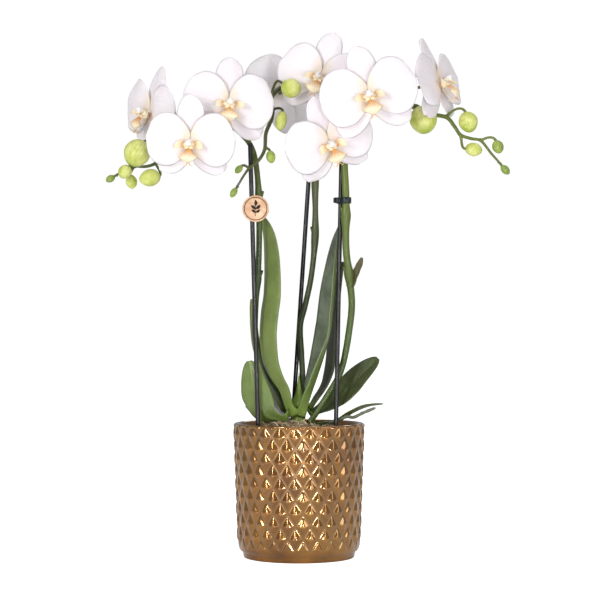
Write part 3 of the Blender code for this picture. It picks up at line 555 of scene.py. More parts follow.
# white with a blush, cream at the throat, fine veins that run out to the edge
def petalMaterial(name, white, blush, throat, blushShare):
    made, tree, shader, co, uv = newMaterial(name, Roughness=0.5, Subsurface_Weight=0.3,
                                             Subsurface_Radius=(0.9, 0.75, 0.65), Subsurface_Scale=0.0025,
                                             Sheen_Weight=0.1, Specular_IOR_Level=0.3)
    shade = readAttribute(tree, "shade")
    side = readAttribute(tree, "side")
    tint = placed(tree, mottleGroup, Vector=co, Scale=38.0, Contrast=1.2, Dark=blush, Light=white)
    colour = mixed(tree, blushShare, white, tint.outputs["Color"])
    colour = mixed(tree, times(tree, side, 0.35), colour, blush)
    veins = placed(tree, veinGroup, Vector=uv, Count=17.0, Wander=1.5, Width=0.3)
    fadeVeins = times(tree, veins.outputs[0], remap(tree, shade, 0.05, 0.85, 0.20, 0.05))
    colour = mixed(tree, fadeVeins, colour, blush)
    colour = mixed(tree, remap(tree, shade, 0.0, 0.36, 0.75, 0.0), colour, throat)
    grain = placed(tree, grainGroup, Vector=co, Scale=2600.0)
    feed(tree, shader, Base_Color=colour)
    bump(tree, shader, plus(tree, veins.outputs[0], times(tree, grain.outputs[0], 0.6)), 0.0002, 0.4)
    return made


def lipMaterial(name, base, tip, mark, markShare, low=0.1, high=0.8):
    made, tree, shader, co, uv = newMaterial(name, Roughness=0.42, Subsurface_Weight=0.3,
                                             Subsurface_Radius=(1.0, 0.6, 0.3), Subsurface_Scale=0.0015)
    shade = readAttribute(tree, "shade")
    colour = mixed(tree, remap(tree, shade, low, high), base, tip)
    stripes = placed(tree, veinGroup, Vector=uv, Count=9.0, Wander=1.2, Width=0.22)
    dots = placed(tree, spotGroup, Vector=co, Scale=900.0, Size=0.42, Share=0.5)
    marks = times(tree, maths(tree, "MAXIMUM", stripes.outputs[0], dots.outputs[0]),
                  remap(tree, shade, 0.15, 0.75, markShare, 0.0))
    soft = placed(tree, mottleGroup, Vector=co, Scale=260.0, Contrast=1.0)
    colour = mixed(tree, times(tree, soft.outputs["Amount"], 0.25), colour, tip)
    colour = mixed(tree, marks, colour, mark)
    feed(tree, shader, Base_Color=colour)
    bump(tree, shader, soft.outputs["Amount"], 0.0003, 0.5)
    return made


def budMaterial(name, dark, light):
    made, tree, shader, co, uv = newMaterial(name, Roughness=0.42, Subsurface_Weight=0.2,
                                             Subsurface_Radius=(0.8, 1.0, 0.3), Subsurface_Scale=0.002)
    shade = readAttribute(tree, "shade")
    body = placed(tree, mottleGroup, Vector=co, Scale=120.0, Contrast=0.8, Dark=dark, Light=light)
    colour = mixed(tree, remap(tree, shade, 0.0, 0.35, 0.7, 0.0), body.outputs["Color"], (0.25, 0.36, 0.035, 1))
    colour = mixed(tree, remap(tree, shade, 0.72, 1.0, 0.0, 0.5), colour, (0.30, 0.42, 0.05, 1))
    veins = placed(tree, veinGroup, Vector=uv, Count=24.0, Wander=0.8, Width=0.3)
    colour = mixed(tree, times(tree, veins.outputs[0], 0.22), colour, (0.28, 0.38, 0.05, 1))
    dots = placed(tree, spotGroup, Vector=co, Scale=1500.0, Size=0.3, Share=0.3)
    colour = mixed(tree, times(tree, dots.outputs[0], 0.25), colour, (0.72, 0.74, 0.40, 1))
    feed(tree, shader, Base_Color=colour)
    bump(tree, shader, veins.outputs[0], 0.0002, 0.35)
    return made


def darkPlasticMaterial(name, dark, light, roughLow, roughHigh):
    made, tree, shader, co, uv = newMaterial(name, Specular_IOR_Level=0.5)
    body = placed(tree, mottleGroup, Vector=co, Scale=90.0, Contrast=1.0, Dark=dark, Light=light)
    drawnLines = placed(tree, grainGroup, Vector=co, Scale=700.0, Stretch=(1, 1, 0.06))
    dust = placed(tree, spotGroup, Vector=co, Scale=1100.0, Size=0.25, Share=0.2)
    colour = mixed(tree, times(tree, dust.outputs[0], 0.3), body.outputs["Color"], (0.16, 0.15, 0.15, 1))
    feed(tree, shader, Base_Color=colour,
         Roughness=remap(tree, drawnLines.outputs[0], 0.3, 0.7, roughLow, roughHigh))
    bump(tree, shader, drawnLines.outputs[0], 0.0002, 0.4)
    return made


def woodMaterial(name, dark, light):
    made, tree, shader, co, uv = newMaterial(name, Roughness=0.62, Specular_IOR_Level=0.3)
    board = placed(tree, grainGroup, Vector=co, Scale=130.0, Stretch=(0.22, 1, 1.6))
    pores = placed(tree, grainGroup, Vector=co, Scale=900.0, Stretch=(0.06, 1, 1))
    soft = placed(tree, mottleGroup, Vector=co, Scale=160.0, Contrast=0.7, Dark=dark, Light=light)
    colour = mixed(tree, remap(tree, board.outputs[0], 0.35, 0.62, 0.55, 0.0), soft.outputs["Color"], dark)
    colour = mixed(tree, remap(tree, pores.outputs[0], 0.30, 0.44, 0.4, 0.0), colour, dark)
    feed(tree, shader, Base_Color=colour)
    bump(tree, shader, pores.outputs[0], 0.0002, 0.5)
    return made


# the upper colour of this leaf finish is a pale grey-green: partly the leaf's own green, partly a painted silvery sheen
# that stands for the glossy upper face's reflection
greenLeafPaintedSheen = leafMaterial("leafGreen", (0.150, 0.175, 0.125), (0.150, 0.215, 0.046), 1.0)
crownLeaf = leafMaterial("crownGreen", (0.19, 0.30, 0.040), (0.19, 0.30, 0.040), 0.6)
paleLeaf = leafMaterial("leafPale", (0.070, 0.110, 0.028), (0.180, 0.240, 0.058), 0.5)
darkLeaf = leafMaterial("leafDark", (0.030, 0.050, 0.022), (0.075, 0.110, 0.030), 0.8, warmShare=0.12)
oliveLeaf = leafMaterial("leafOlive", (0.060, 0.090, 0.026), (0.085, 0.078, 0.042), 0.9, warmShare=0.25)
dryBract = leafMaterial("bractDry", (0.12, 0.10, 0.045), (0.15, 0.11, 0.055), 0.1, rim=(0.30, 0.22, 0.12, 1),
                       baseShare=0.0)
barkBrown = barkMaterial("barkBrown", (0.11, 0.065, 0.038, 1), (0.48, 0.34, 0.21, 1), (1, 1, 0.25))
mossPale = barkMaterial("mossPale", (0.44, 0.36, 0.22, 1), (0.78, 0.69, 0.50, 1), (1, 1, 1))
stemLeft = stemMaterial("stemLeft", (0.030, 0.060, 0.014, 1), (0.105, 0.150, 0.024, 1), rimHeight + 0.10,
                        rimHeight + 0.24, (0.055, 0.035, 0.025, 1), 0.30)
stemMiddle = stemMaterial("stemMiddle", (0.040, 0.075, 0.018, 1), (0.075, 0.090, 0.022, 1), rimHeight + 0.05,
                          rimHeight + 0.26, (0.060, 0.035, 0.025, 1), 0.35)
stemRight = stemMaterial("stemRight", (0.050, 0.090, 0.014, 1), (0.135, 0.180, 0.026, 1), rimHeight + 0.02,
                         rimHeight + 0.24, (0.050, 0.040, 0.022, 1), 0.22)
rootSkin = stemMaterial("rootSkin", (0.050, 0.075, 0.030, 1), (0.13, 0.155, 0.095, 1), rimHeight - 0.002,
                        rimHeight + 0.012, (0.20, 0.21, 0.17, 1), 0.30)
petalWhite = petalMaterial("petalWhite", (0.93, 0.915, 0.94, 1), (0.85, 0.735, 0.785, 1), (0.84, 0.70, 0.50, 1), 0.55)
lipYellow = lipMaterial("lipYellow", (0.84, 0.38, 0.035, 1), (0.92, 0.80, 0.58, 1), (0.45, 0.08, 0.03, 1), 0.95,
                        high=0.7)
lipWhite = lipMaterial("columnWhite", (0.90, 0.76, 0.52, 1), (0.92, 0.86, 0.82, 1), (0.72, 0.33, 0.34, 1), 0.25)
budGreen = budMaterial("budGreen", (0.46, 0.53, 0.08, 1), (0.76, 0.77, 0.28, 1))
budYoung = budMaterial("budYoung", (0.17, 0.26, 0.045, 1), (0.36, 0.44, 0.09, 1))
stakeCoat = darkPlasticMaterial("stakeCoat", (0.006, 0.005, 0.006, 1), (0.018, 0.014, 0.018, 1), 0.25, 0.40)
clipPlastic = darkPlasticMaterial("clipPlastic", (0.010, 0.016, 0.018, 1), (0.022, 0.032, 0.034, 1), 0.25, 0.40)
tagWood = woodMaterial("tagWood", (0.62, 0.36, 0.21, 1), (0.88, 0.62, 0.43, 1))
tagBurn = woodMaterial("tagBurn", (0.016, 0.010, 0.008, 1), (0.050, 0.028, 0.018, 1))
print("finishes made")


# cover pot: a turned wall that a geometry tree raises into diamond studs
coverPot = {"foot": 0.0443, "footHeight": 0.0042, "footFlare": 0.0008, "shoulder": 0.0075, "lowRadius": 0.0482,
            "lowLevel": 0.011, "topRadius": 0.0515, "wall": 0.0042, "floor": 0.006, "studsAround": 26,
            "steps": 8, "halfPitch": 0.00995, "lowestLevel": 0.0098, "turn": math.radians(3.6),
            "relief": 0.0014, "rimTop": 0.1056, "apexShare": 0.40, "rounding": 1.7}


def potRadius(height):
    share = (height - coverPot["lowLevel"]) / (rimHeight - coverPot["lowLevel"])
    return coverPot["lowRadius"] + (coverPot["topRadius"] - coverPot["lowRadius"]) * share


def potMesh():
    c = coverPot
    level, steps = c["lowestLevel"], c["steps"]
    foot, low = c["foot"], potRadius(c["lowestLevel"])
    profile = [(0, 0.0009), (foot - 0.0062, 0.0009), (foot - 0.0055, 0.0003), (foot - 0.0048, 0),
               (foot - 0.0007, 0), (foot - 0.0002, 0.0003), (foot, 0.0009),
               (foot + c["footFlare"] * 0.5, c["footHeight"] * 0.6), (foot + c["footFlare"], c["footHeight"]),
               (foot + c["footFlare"] + 0.0002, c["footHeight"] + 0.0006), (low - 0.0014, c["shoulder"] - 0.0019),
               (low - 0.0006, c["shoulder"] - 0.0009), (low - 0.0001, c["shoulder"]), (low, c["shoulder"] + 0.0011)]
    firstRow = len(profile)
    rows = int((c["rimTop"] - level) / (c["halfPitch"] / steps))
    heights = [level + c["halfPitch"] * i / steps for i in range(rows + 1)]
    profile += [(potRadius(z), z) for z in heights]
    lastRow = len(profile) - 1
    outer, inner = c["topRadius"], c["topRadius"] - c["wall"]
    profile += [(outer + 0.0004, rimHeight - 0.0010), (outer + 0.0002, rimHeight - 0.0004),
                (outer - 0.0006, rimHeight), (outer - 0.0016, rimHeight), (inner + 0.0010, rimHeight - 0.0001),
                (inner + 0.0003, rimHeight - 0.0006), (inner, rimHeight - 0.0016)]
    inside = [(inner, rimHeight - 0.0016), (c["lowRadius"] - c["wall"], c["lowLevel"]),
              (foot - c["wall"], c["floor"])]
    for (r1, z1), (r2, z2) in zip(inside, inside[1:]):
        profile += [(r1 + (r2 - r1) * i / 6, z1 + (z2 - z1) * i / 6) for i in range(1, 7)]
    profile.append((0, c["floor"]))

    # each cell of the wall is split along the groove that crosses or lies nearest to it
    def split(ring, column):
        j = ring - firstRow
        if not 0 <= j < rows:
            return 0
        x, y = (column + 0.5) / (2 * steps), (j + 0.5) / steps
        p, q = (x + (y + 1) / 2) % 1, (x + (1 - y) / 2) % 1
        if (column + j + 1) % (2 * steps) == steps:
            return -1
        if (column - j) % (2 * steps) == steps:
            return 1
        return -1 if min(p, 1 - p) < min(q, 1 - q) else 1

    shell = newShell()
    addTurned(shell, profile, c["studsAround"] * 2 * steps, c["turn"], split,
              lambda i: 1.0 if firstRow <= i <= lastRow else 0.0)
    return shellMesh("coverPotBlank", shell)


studTree, given, out = newGroup(
    "diamondStuds", "GeometryNodeTree",
    {"Geometry": ("Geometry", None), "Studs Around": ("Float", 26.0), "Half Pitch": ("Float", 0.01),
     "Lowest Level": ("Float", 0.01), "Turn": ("Float", 0.0), "Relief": ("Float", 0.0013),
     "Apex Share": ("Float", 0.4), "Rounding": ("Float", 1.6), "Plain Share": ("Float", 0.3),
     "Groove Share": ("Float", 0.1), "Material": ("Material", None)},
    {"Geometry": "Geometry"})
place = addNode(studTree, "ShaderNodeSeparateXYZ", {0: addNode(studTree, "GeometryNodeInputPosition").outputs[0]})
bearing = maths(studTree, "ARCTAN2", place.outputs[0], times(studTree, place.outputs[1], -1.0))
studX = times(studTree, minus(studTree, bearing, given["Turn"]),
              maths(studTree, "DIVIDE", given["Studs Around"], math.tau))
studY = maths(studTree, "DIVIDE", minus(studTree, place.outputs[2], given["Lowest Level"]),
              given["Half Pitch"])
halfY = times(studTree, studY, 0.5)
# cells along the two groove directions, nudged so that a point on a groove falls in one cell
cellP = plus(studTree, plus(studTree, studX, halfY), 50.5)
cellQ = plus(studTree, minus(studTree, studX, halfY), 50.5)
shareP = maths(studTree, "FRACT", cellP)
shareQ = maths(studTree, "FRACT", cellQ)
otherApex = minus(studTree, 1.0, given["Apex Share"])


def towardsGroove(share, apex, rest):
    up = maths(studTree, "DIVIDE", share, apex)
    down = maths(studTree, "DIVIDE", minus(studTree, 1.0, share), rest)
    return maths(studTree, "MINIMUM", up, down)


riseP = towardsGroove(shareP, given["Apex Share"], otherApex)
riseQ = towardsGroove(shareQ, otherApex, given["Apex Share"])
pyramid = maths(studTree, "SMOOTH_MIN", riseP, riseQ, 0.10)
pyramid = remap(studTree, pyramid, given["Groove Share"], 1.0)
dome = minus(studTree, 1.0,
             maths(studTree, "POWER", maths(studTree, "MAXIMUM", minus(studTree, 1.0, pyramid), 0.0),
                   given["Rounding"]))
studRow = minus(studTree, maths(studTree, "FLOOR", cellP), maths(studTree, "FLOOR", cellQ))
plainRise = maths(studTree, "MINIMUM", times(studTree, pyramid, 3.0), given["Plain Share"])
isStud = maths(studTree, "GREATER_THAN", studRow, 0.5)
height = plus(studTree, times(studTree, dome, isStud),
               times(studTree, plainRise, minus(studTree, 1.0, isStud)))
wallOnly = addNode(studTree, "GeometryNodeInputNamedAttribute", {"Name": "shade"}, data_type="FLOAT").outputs[0]
raised = times(studTree, maths(studTree, "MAXIMUM", height, 0.0), wallOnly)
outward = vectorMaths(studTree, "NORMALIZE",
                      addNode(studTree, "ShaderNodeCombineXYZ", {0: place.outputs[0], 1: place.outputs[1]}).outputs[0])
pushed = addNode(studTree, "GeometryNodeSetPosition",
                 {"Geometry": given["Geometry"],
                  "Offset": scaled(studTree, outward, times(studTree, raised, given["Relief"]))})
plainWall = minus(studTree, 1.0, wallOnly)
kept = addNode(studTree, "GeometryNodeStoreNamedAttribute",
               {"Geometry": pushed.outputs[0], "Name": "relief", "Value": plus(studTree, raised, plainWall)},
               data_type="FLOAT", domain="POINT")
closeTree(studTree, kept.outputs[0], given["Material"], out)

potBody = grown("coverPot", potMesh(), studTree, {
    "Studs Around": float(coverPot["studsAround"]), "Half Pitch": coverPot["halfPitch"],
    "Lowest Level": coverPot["lowestLevel"], "Turn": coverPot["turn"], "Relief": coverPot["relief"],
    "Apex Share": coverPot["apexShare"], "Rounding": coverPot["rounding"], "Plain Share": 0.35,
    "Groove Share": 0.11, "Material": glazeMaterial()})
addPiece("coverPot", potBody, "glaze", "cover_pot")
print("cover pot made,", len(potBody.polygons), "faces")

# nursery pot: thin clear wall with a rolled lip
nurseryPot = {"wall": 0.0010, "lipRoll": 0.0006, "lipHeight": 0.0040, "columns": 96}


def nurseryMesh():
    low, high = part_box("nursery_pot")
    lip, foot = high.x, low.z
    wallTop = lip - 0.0016
    wallFoot = wallTop - 0.0088
    roll, c = nurseryPot["lipRoll"], nurseryPot
    profile = [(0, foot), (wallFoot - 0.003, foot), (wallFoot - 0.0006, foot + 0.0005), (wallFoot, foot + 0.003),
               (wallTop, high.z - c["lipHeight"]), (lip - roll, high.z - c["lipHeight"]),
               (lip, high.z - c["lipHeight"] + roll), (lip, high.z - roll), (lip - roll * 0.4, high.z - roll * 0.3),
               (lip - roll, high.z), (wallTop - c["wall"] * 0.4, high.z), (wallTop - c["wall"], high.z - roll),
               (wallFoot - c["wall"], foot + 0.003), (wallFoot - 0.004, foot + c["wall"]), (0, foot + c["wall"])]
    shell = newShell()
    addTurned(shell, profile, c["columns"])
    return shellMesh("nurseryPot", shell, plasticMaterial())


addPiece("nurseryPot", nurseryMesh(), "clear_plastic", "nursery_pot")

# potting bark: a lumpy plug with chips scattered on it, and strands of dry moss
barkBed = {"chips": 26000.0, "chipSeed": 11, "moss": 60000.0, "mossSeed": 5, "bare": 0.011}


def barkPlug():
    low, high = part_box("bark")
    radius, top = high.x, high.z
    edge = top - 0.007
    rings = [(0, low.z), (radius * 0.78, low.z), (radius * 0.80, low.z + 0.002), (radius * 0.99, edge - 0.004)]
    for i in range(17):
        share = 1 - i / 16
        rings.append((radius * share * 0.995, edge + 0.0065 * (1 - share ** 2.2)))
    shell = newShell()
    addTurned(shell, rings, 96)
    mesh = shellMesh("barkPlug", shell, barkBrown)
    for vert in mesh.vertices:
        if vert.co.z > edge - 0.003 and vert.co.xy.length < radius * 0.97:
            vert.co.z += 0.0016 * noise.noise(vert.co * 170) - 0.0008
            away = (vert.co - Vector((-0.013, -0.012, vert.co.z))).length / 0.026
            vert.co.z += (rimHeight + 0.002 - top) * math.exp(-away ** 4)
    return mesh


# a chip of bark: an uneven slab
def chipMesh(seed):
    rng = random.Random(seed)
    bm = bmesh.new()
    bmesh.ops.create_cube(bm, size=1.0)
    bmesh.ops.subdivide_edges(bm, edges=bm.edges, cuts=1, use_grid_fill=True)
    for vert in bm.verts:
        vert.co = Vector((vert.co.x * 1.0, vert.co.y * 0.6, vert.co.z * 0.26))
        vert.co += Vector([rng.uniform(-0.09, 0.09) for _ in range(3)])
    mesh = bpy.data.meshes.new("barkChip")
    bm.to_mesh(mesh)
    bm.free()
    return sewn(mesh)


def strandMesh(seed):
    rng = random.Random(seed)
    line = [Vector((math.cos(i * 0.9) * 0.22 * i / 5, math.sin(i * 0.8) * 0.30, i / 6 - 0.5)) for i in range(7)]
    line = [p + Vector([rng.uniform(-0.06, 0.06) for _ in range(3)]) for p in line]
    shell = newShell()
    addTube(shell, line, [0.045, 0.06, 0.07, 0.07, 0.06, 0.05, 0.03], 4)
    return shellMesh("mossStrand", shell)


scatterTree, given, out = newGroup(
    "scatterOnBark", "GeometryNodeTree",
    {"Geometry": ("Geometry", None), "Scrap": ("Object", None), "Density": ("Float", 20000.0), "Seed": ("Int", 1),
     "Smallest": ("Float", 0.003), "Largest": ("Float", 0.008), "Lie": ("Float", 0.4), "Bare Middle": ("Float", 0.01),
     "Reach": ("Float", 0.04), "Lowest": ("Float", 0.09), "Keep Base": ("Bool", True), "Material": ("Material", None)},
    {"Geometry": "Geometry"})
ground = addNode(scatterTree, "GeometryNodeInputPosition").outputs[0]
apart = addNode(scatterTree, "ShaderNodeSeparateXYZ", {0: ground})
level = addNode(scatterTree, "ShaderNodeCombineXYZ", {0: apart.outputs[0], 1: apart.outputs[1]}).outputs[0]
fromAxis = vectorMaths(scatterTree, "LENGTH", level, output=1)
wanted = times(scatterTree, maths(scatterTree, "GREATER_THAN", apart.outputs[2], given["Lowest"]),
               times(scatterTree, maths(scatterTree, "GREATER_THAN", fromAxis, given["Bare Middle"]),
                     maths(scatterTree, "LESS_THAN", fromAxis, given["Reach"])))
seeded = addNode(scatterTree, "GeometryNodeDistributePointsOnFaces",
                 {"Mesh": given["Geometry"], "Selection": wanted, "Density": given["Density"], "Seed": given["Seed"]})
scrap = addNode(scatterTree, "GeometryNodeObjectInfo", {"Object": given["Scrap"]})
tumble = addNode(scatterTree, "FunctionNodeRandomValue", {"Min": (-1, -1, 0), "Max": (1, 1, math.tau),
                                                          "Seed": given["Seed"]}, data_type="FLOAT_VECTOR")
tilt = vectorMaths(scatterTree, "MULTIPLY", tumble.outputs[0],
                   addNode(scatterTree, "ShaderNodeCombineXYZ", {0: given["Lie"], 1: given["Lie"], 2: 1.0}).outputs[0])
turned = addNode(scatterTree, "FunctionNodeEulerToRotation", {0: tilt})
sizes = addNode(scatterTree, "FunctionNodeRandomValue",
                {2: given["Smallest"], 3: given["Largest"], "Seed": given["Seed"]}, data_type="FLOAT")
strewn = addNode(scatterTree, "GeometryNodeInstanceOnPoints",
                 {"Points": seeded.outputs[0], "Instance": scrap.outputs["Geometry"],
                  "Rotation": turned.outputs[0], "Scale": sizes.outputs[1]})
loose = addNode(scatterTree, "GeometryNodeRealizeInstances", {"Geometry": strewn.outputs[0]})
base = addNode(scatterTree, "GeometryNodeSwitch", {0: given["Keep Base"], 2: given["Geometry"]}, input_type="GEOMETRY")
bed = addNode(scatterTree, "GeometryNodeJoinGeometry", {0: base.outputs[0]})
scatterTree.links.new(loose.outputs[0], bed.inputs[0])
closeTree(scatterTree, bed.outputs[0], given["Material"], out, soft=False)


def scattered(name, plug, scrapPiece, finish, **values):
    scrapPiece = addObject(name + "Scrap", scrapPiece)
    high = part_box("bark")[1]
    values = {key.replace("_", " "): value for key, value in values.items()}
    mesh = grown(name, plug, scatterTree, {"Scrap": scrapPiece, "Lowest": high.z - 0.009,
                                           "Reach": high.x * 0.93, "Material": finish, **values})
    bpy.data.objects.remove(scrapPiece)
    return mesh


plug = barkPlug()
chips = scattered("pottingBark", plug, chipMesh(3), barkBrown, Density=barkBed["chips"], Seed=barkBed["chipSeed"],
                  Smallest=0.0045, Largest=0.0095, Lie=0.45, Bare_Middle=barkBed["bare"], Keep_Base=True)
addPiece("pottingBark", chips, "bark", "bark")
strands = scattered("dryMoss", plug, strandMesh(8), mossPale, Density=barkBed["moss"], Seed=barkBed["mossSeed"],
                    Smallest=0.005, Largest=0.010, Lie=1.5, Bare_Middle=barkBed["bare"] * 0.7, Keep_Base=False)
addPiece("dryMoss", strands, "bark")
print("bark bed made,", len(chips.polygons), "and", len(strands.polygons), "faces")


# leaves: points along the midrib, full width, share of it at the clasping base, channel, and the
# directions the upper side faces from base to tip
leaves = rowsOf(("width", "base", "channel", "line", "faces"), {
    "leaf_left_front": (32, 0.36, 0.17,
        [(-5.5, -4.5, 4), (-10, -6, 14), (-13.5, -7.5, 25.5), (-19.6, -9, 35.5), (-25.4, -10.5, 50),
         (-27.5, -11, 69), (-25.9, -10, 89), (-24, -9, 104), (-23.4, -7, 128), (-24.8, -6, 148), (-29, -5, 164)],
        [(0.86, 0.42, 0.3), (0.84, 0.46, 0.3), (0.89, 0.45, 0.05), (0.88, 0.47, -0.05)]),
    "leaf_left_back": (27, 0.34, 0.12,
        [(-12, 10, 8), (-19, 14, 20), (-27, 19, 36), (-33, 22, 53), (-37, 23, 71), (-38, 22, 99)],
        [(0.82, 0.28, 0.5), (0.9, 0.3, 0.3), (0.94, 0.33, 0.05)]),
    "leaf_left_low": (26, 0.4, 0.08,
        [(-9, -8, 3), (-19, -11, 4), (-27, -12, 8), (-33, -12, 20), (-36, -12, 31), (-39.5, -11, 50)],
        [(0.25, 0.45, 0.85), (0.35, 0.75, 0.55), (0.35, 0.93, 0.1), (0.35, 0.93, 0.05)]),
    "leaf_left_small": (12, 0.34, 0.12,
        [(-11, 4, 2), (-22, 5, 1.5), (-33, 6, 4), (-43, 6, 13)],
        [(0.25, 0.0, 0.97), (0.55, -0.2, 0.8)]),
    "leaf_back_dark": (17, 0.4, 0.1,
        [(-8.5, 9, 0.5), (-14, 17, 5), (-19, 27, 11), (-22, 38, 17)],
        [(0.3, -0.35, 0.9), (0.1, -0.4, 0.9)]),
    "leaf_right_front": (31, 0.3, 0.3,
        [(3.4, -6.5, 4), (5.6, -8, 14), (8.6, -7.5, 25), (12, -6, 35), (18.5, -4.5, 55), (23, -4, 73), (25, -4, 89),
         (26.8, -3, 108), (28.8, -1, 129), (31, 2, 149), (33, 4, 160)],
        [(-0.6, 0.78, 0.2), (-0.86, -0.1, 0.45), (-0.88, -0.36, 0.38), (-0.95, -0.22, 0.25), (-0.98, -0.1, 0.2)]),
    "leaf_right_back": (24, 0.34, 0.15,
        [(8.5, 6, 10), (13, 9, 17), (19, 13, 25), (24, 15, 34), (27, 17, 45), (28, 17, 65), (29.5, 16, 88),
         (33, 14, 115), (36, 13, 129)],
        [(-0.8, -0.2, 0.6), (-0.88, -0.28, 0.4), (-0.9, -0.3, 0.3)]),
    "leaf_right_broad": (28, 0.32, 0.1,
        [(8.8, 2, 5.5), (16, 3.5, 9.5), (26, 4.5, 15.5), (37, 5, 25), (48, 5.5, 37), (63.5, 6, 51.5)],
        [(-0.4, -0.3, 0.85), (-0.42, -0.58, 0.7), (-0.42, -0.64, 0.64)]),
    "leaf_right_low": (11, 0.3, 0.16,
        [(9, 0.5, -0.2), (20, 0, -0.4), (32, -1, 2), (43, -3, 9), (55, -5, 14), (67, -6, 15.5)],
        [(-0.1, 0.05, 0.97), (-0.2, 0.2, 0.95)]),
    "bract_right": (7, 0.8, 0.2,
        [(41.5, -12.5, 108), (45.5, -12.5, 119), (50, -12, 132)],
        [(-0.5, -0.8, 0.3), (-0.5, -0.8, 0.3)]),
})
leafBlade = {"thickness": 0.0019, "rows": 56, "columns": 18, "wave": 0.0006, "keel": 0.0007,
             "widest": 0.62, "tipLength": 0.385}
leafFinish = {"leaf_left_front": paleLeaf, "leaf_left_back": paleLeaf, "leaf_left_low": greenLeafPaintedSheen,
              "leaf_left_small": greenLeafPaintedSheen, "leaf_back_dark": darkLeaf, "leaf_right_front": greenLeafPaintedSheen,
              "leaf_right_back": oliveLeaf, "leaf_right_broad": oliveLeaf, "leaf_right_low": darkLeaf,
              "bract_right": dryBract}


def leafWidth(t, base):
    widest = leafBlade["widest"]
    rise = base + (1 - base) * math.sin(min(t / widest, 1) * math.pi / 2) ** 1.6
    return rise * math.sqrt(max(0.0, 1 - (max(t - widest, 0) / leafBlade["tipLength"]) ** 2))


def leafMesh(name, made, seed, finish):
    points = smoothLine([onPlant(p) for p in made["line"]], 12)
    faces = [Vector(f) for f in made["faces"]]
    ahead = len(points) // 24 + 1
    thick = leafBlade["thickness"] * min(1, made["width"] / 14)

    def pointAt(s, t):
        place = t * (len(points) - 1)
        index = min(int(place), len(points) - 2)
        centre = points[index].lerp(points[index + 1], place - index)
        along = (points[min(index + ahead, len(points) - 1)] - points[max(index - ahead, 0)]).normalized()
        across = along.cross(between(faces, t)).normalized()
        up = across.cross(along)
        half = 0.5 * made["width"] * mm * leafWidth(t, made["base"])
        clasp = 0.7 * max(0.0, 1 - t / 0.12) ** 2
        bend = 2 * s * s * (made["channel"] * (1 - 0.7 * t) + clasp) - 0.10 * (1 - abs(s)) ** 4
        ripple = leafBlade["wave"] * noise.noise((s * 0.9, t * 5, seed * 7.3)) * 2 * abs(s)
        return centre + half * (across * s + up * bend) + up * ripple

    def thicknessAt(s, t):
        body = thick * (1 - 0.45 * t) * math.sqrt(max(0.0, 1 - s ** 4))
        return body + leafBlade["keel"] * math.exp(-(s / 0.10) ** 2) * (1 - t)

    shell = newShell()
    addBlade(shell, pointAt, thicknessAt, leafBlade["rows"], leafBlade["columns"], tip=1.5)
    return shellMesh(name, shell, finish)


for seed, (node, made) in enumerate(leaves.items()):
    name = camelName(node)
    addPiece(name, leafMesh(name, made, seed, leafFinish[node]), "bract" if node == "bract_right" else "leaf", node)

# crown: the clasping leaf bases, with the point of the newest leaf
crownShape = {"neck": 0.0048, "widest": 0.0067, "depthShare": 0.80, "foldDepth": 0.10}


def crownMesh():
    low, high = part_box("crown")
    c = crownShape
    heights = [(low.z, 0.0), (low.z, c["neck"]), (rimHeight, c["neck"]), (rimHeight + 0.008, c["neck"] * 1.2),
               (rimHeight + 0.015, c["widest"]), (rimHeight + 0.023, c["widest"] * 0.45),
               (rimHeight + 0.032, c["widest"] * 0.18), (high.z, 0.0)]
    line = smoothLine([Vector((radius, 0, z)) for z, radius in heights[1:-1]], 6)
    profile = [(0, low.z), *((max(p.x, 0.0004), p.z) for p in line), (0, high.z)]
    shell = newShell()
    addTurned(shell, profile, 40)
    mesh = shellMesh("crown", shell, crownLeaf)
    for vert in mesh.vertices:
        angle = math.atan2(vert.co.y, vert.co.x)
        rise = max(0.0, min(1.0, (vert.co.z - rimHeight) / 0.012))
        fold = 1 - c["foldDepth"] * rise * abs(math.sin(angle + 0.5)) ** 6
        vert.co.x *= fold
        vert.co.y *= fold * c["depthShare"]
    return mesh


addPiece("crown", crownMesh(), "leaf", "crown")
print("leaves made")

# stems, stakes and the air root: a tree sweeps a round skin along each line, with its own girth at
# each point, and sets a scale leaf at each marked point
scaleLeaf = {"length": 1.0, "width": 0.62, "hollow": 0.30}


def scaleLeafMesh():
    s = scaleLeaf

    def pointAt(across, t):
        half = s["width"] * 0.5 * math.sin(min(1.0, t * 1.25 + 0.28) * math.pi) ** 0.7 * (1 - t ** 3)
        return Vector((across * half, s["hollow"] * (0.25 - across * across) * (1 - 0.4 * t) + 0.18 * t * t,
                       s["length"] * t))

    shell = newShell()
    addBlade(shell, pointAt, lambda a, t: 0.12, 5, 4, tip=1.2)
    return shellMesh("scaleLeaf", shell)


stemTree, given, out = newGroup(
    "roundStem", "GeometryNodeTree",
    {"Geometry": ("Geometry", None), "Sides": ("Int", 16), "Lumps": ("Float", 0.0001), "Lump Scale": ("Float", 300.0),
     "Seed": ("Float", 1.0), "Scale Leaf": ("Object", None), "Material": ("Material", None)},
    {"Geometry": "Geometry"})


def attributeIn(tree, name, kind="FLOAT"):
    return addNode(tree, "GeometryNodeInputNamedAttribute", {"Name": name}, data_type=kind).outputs[0]


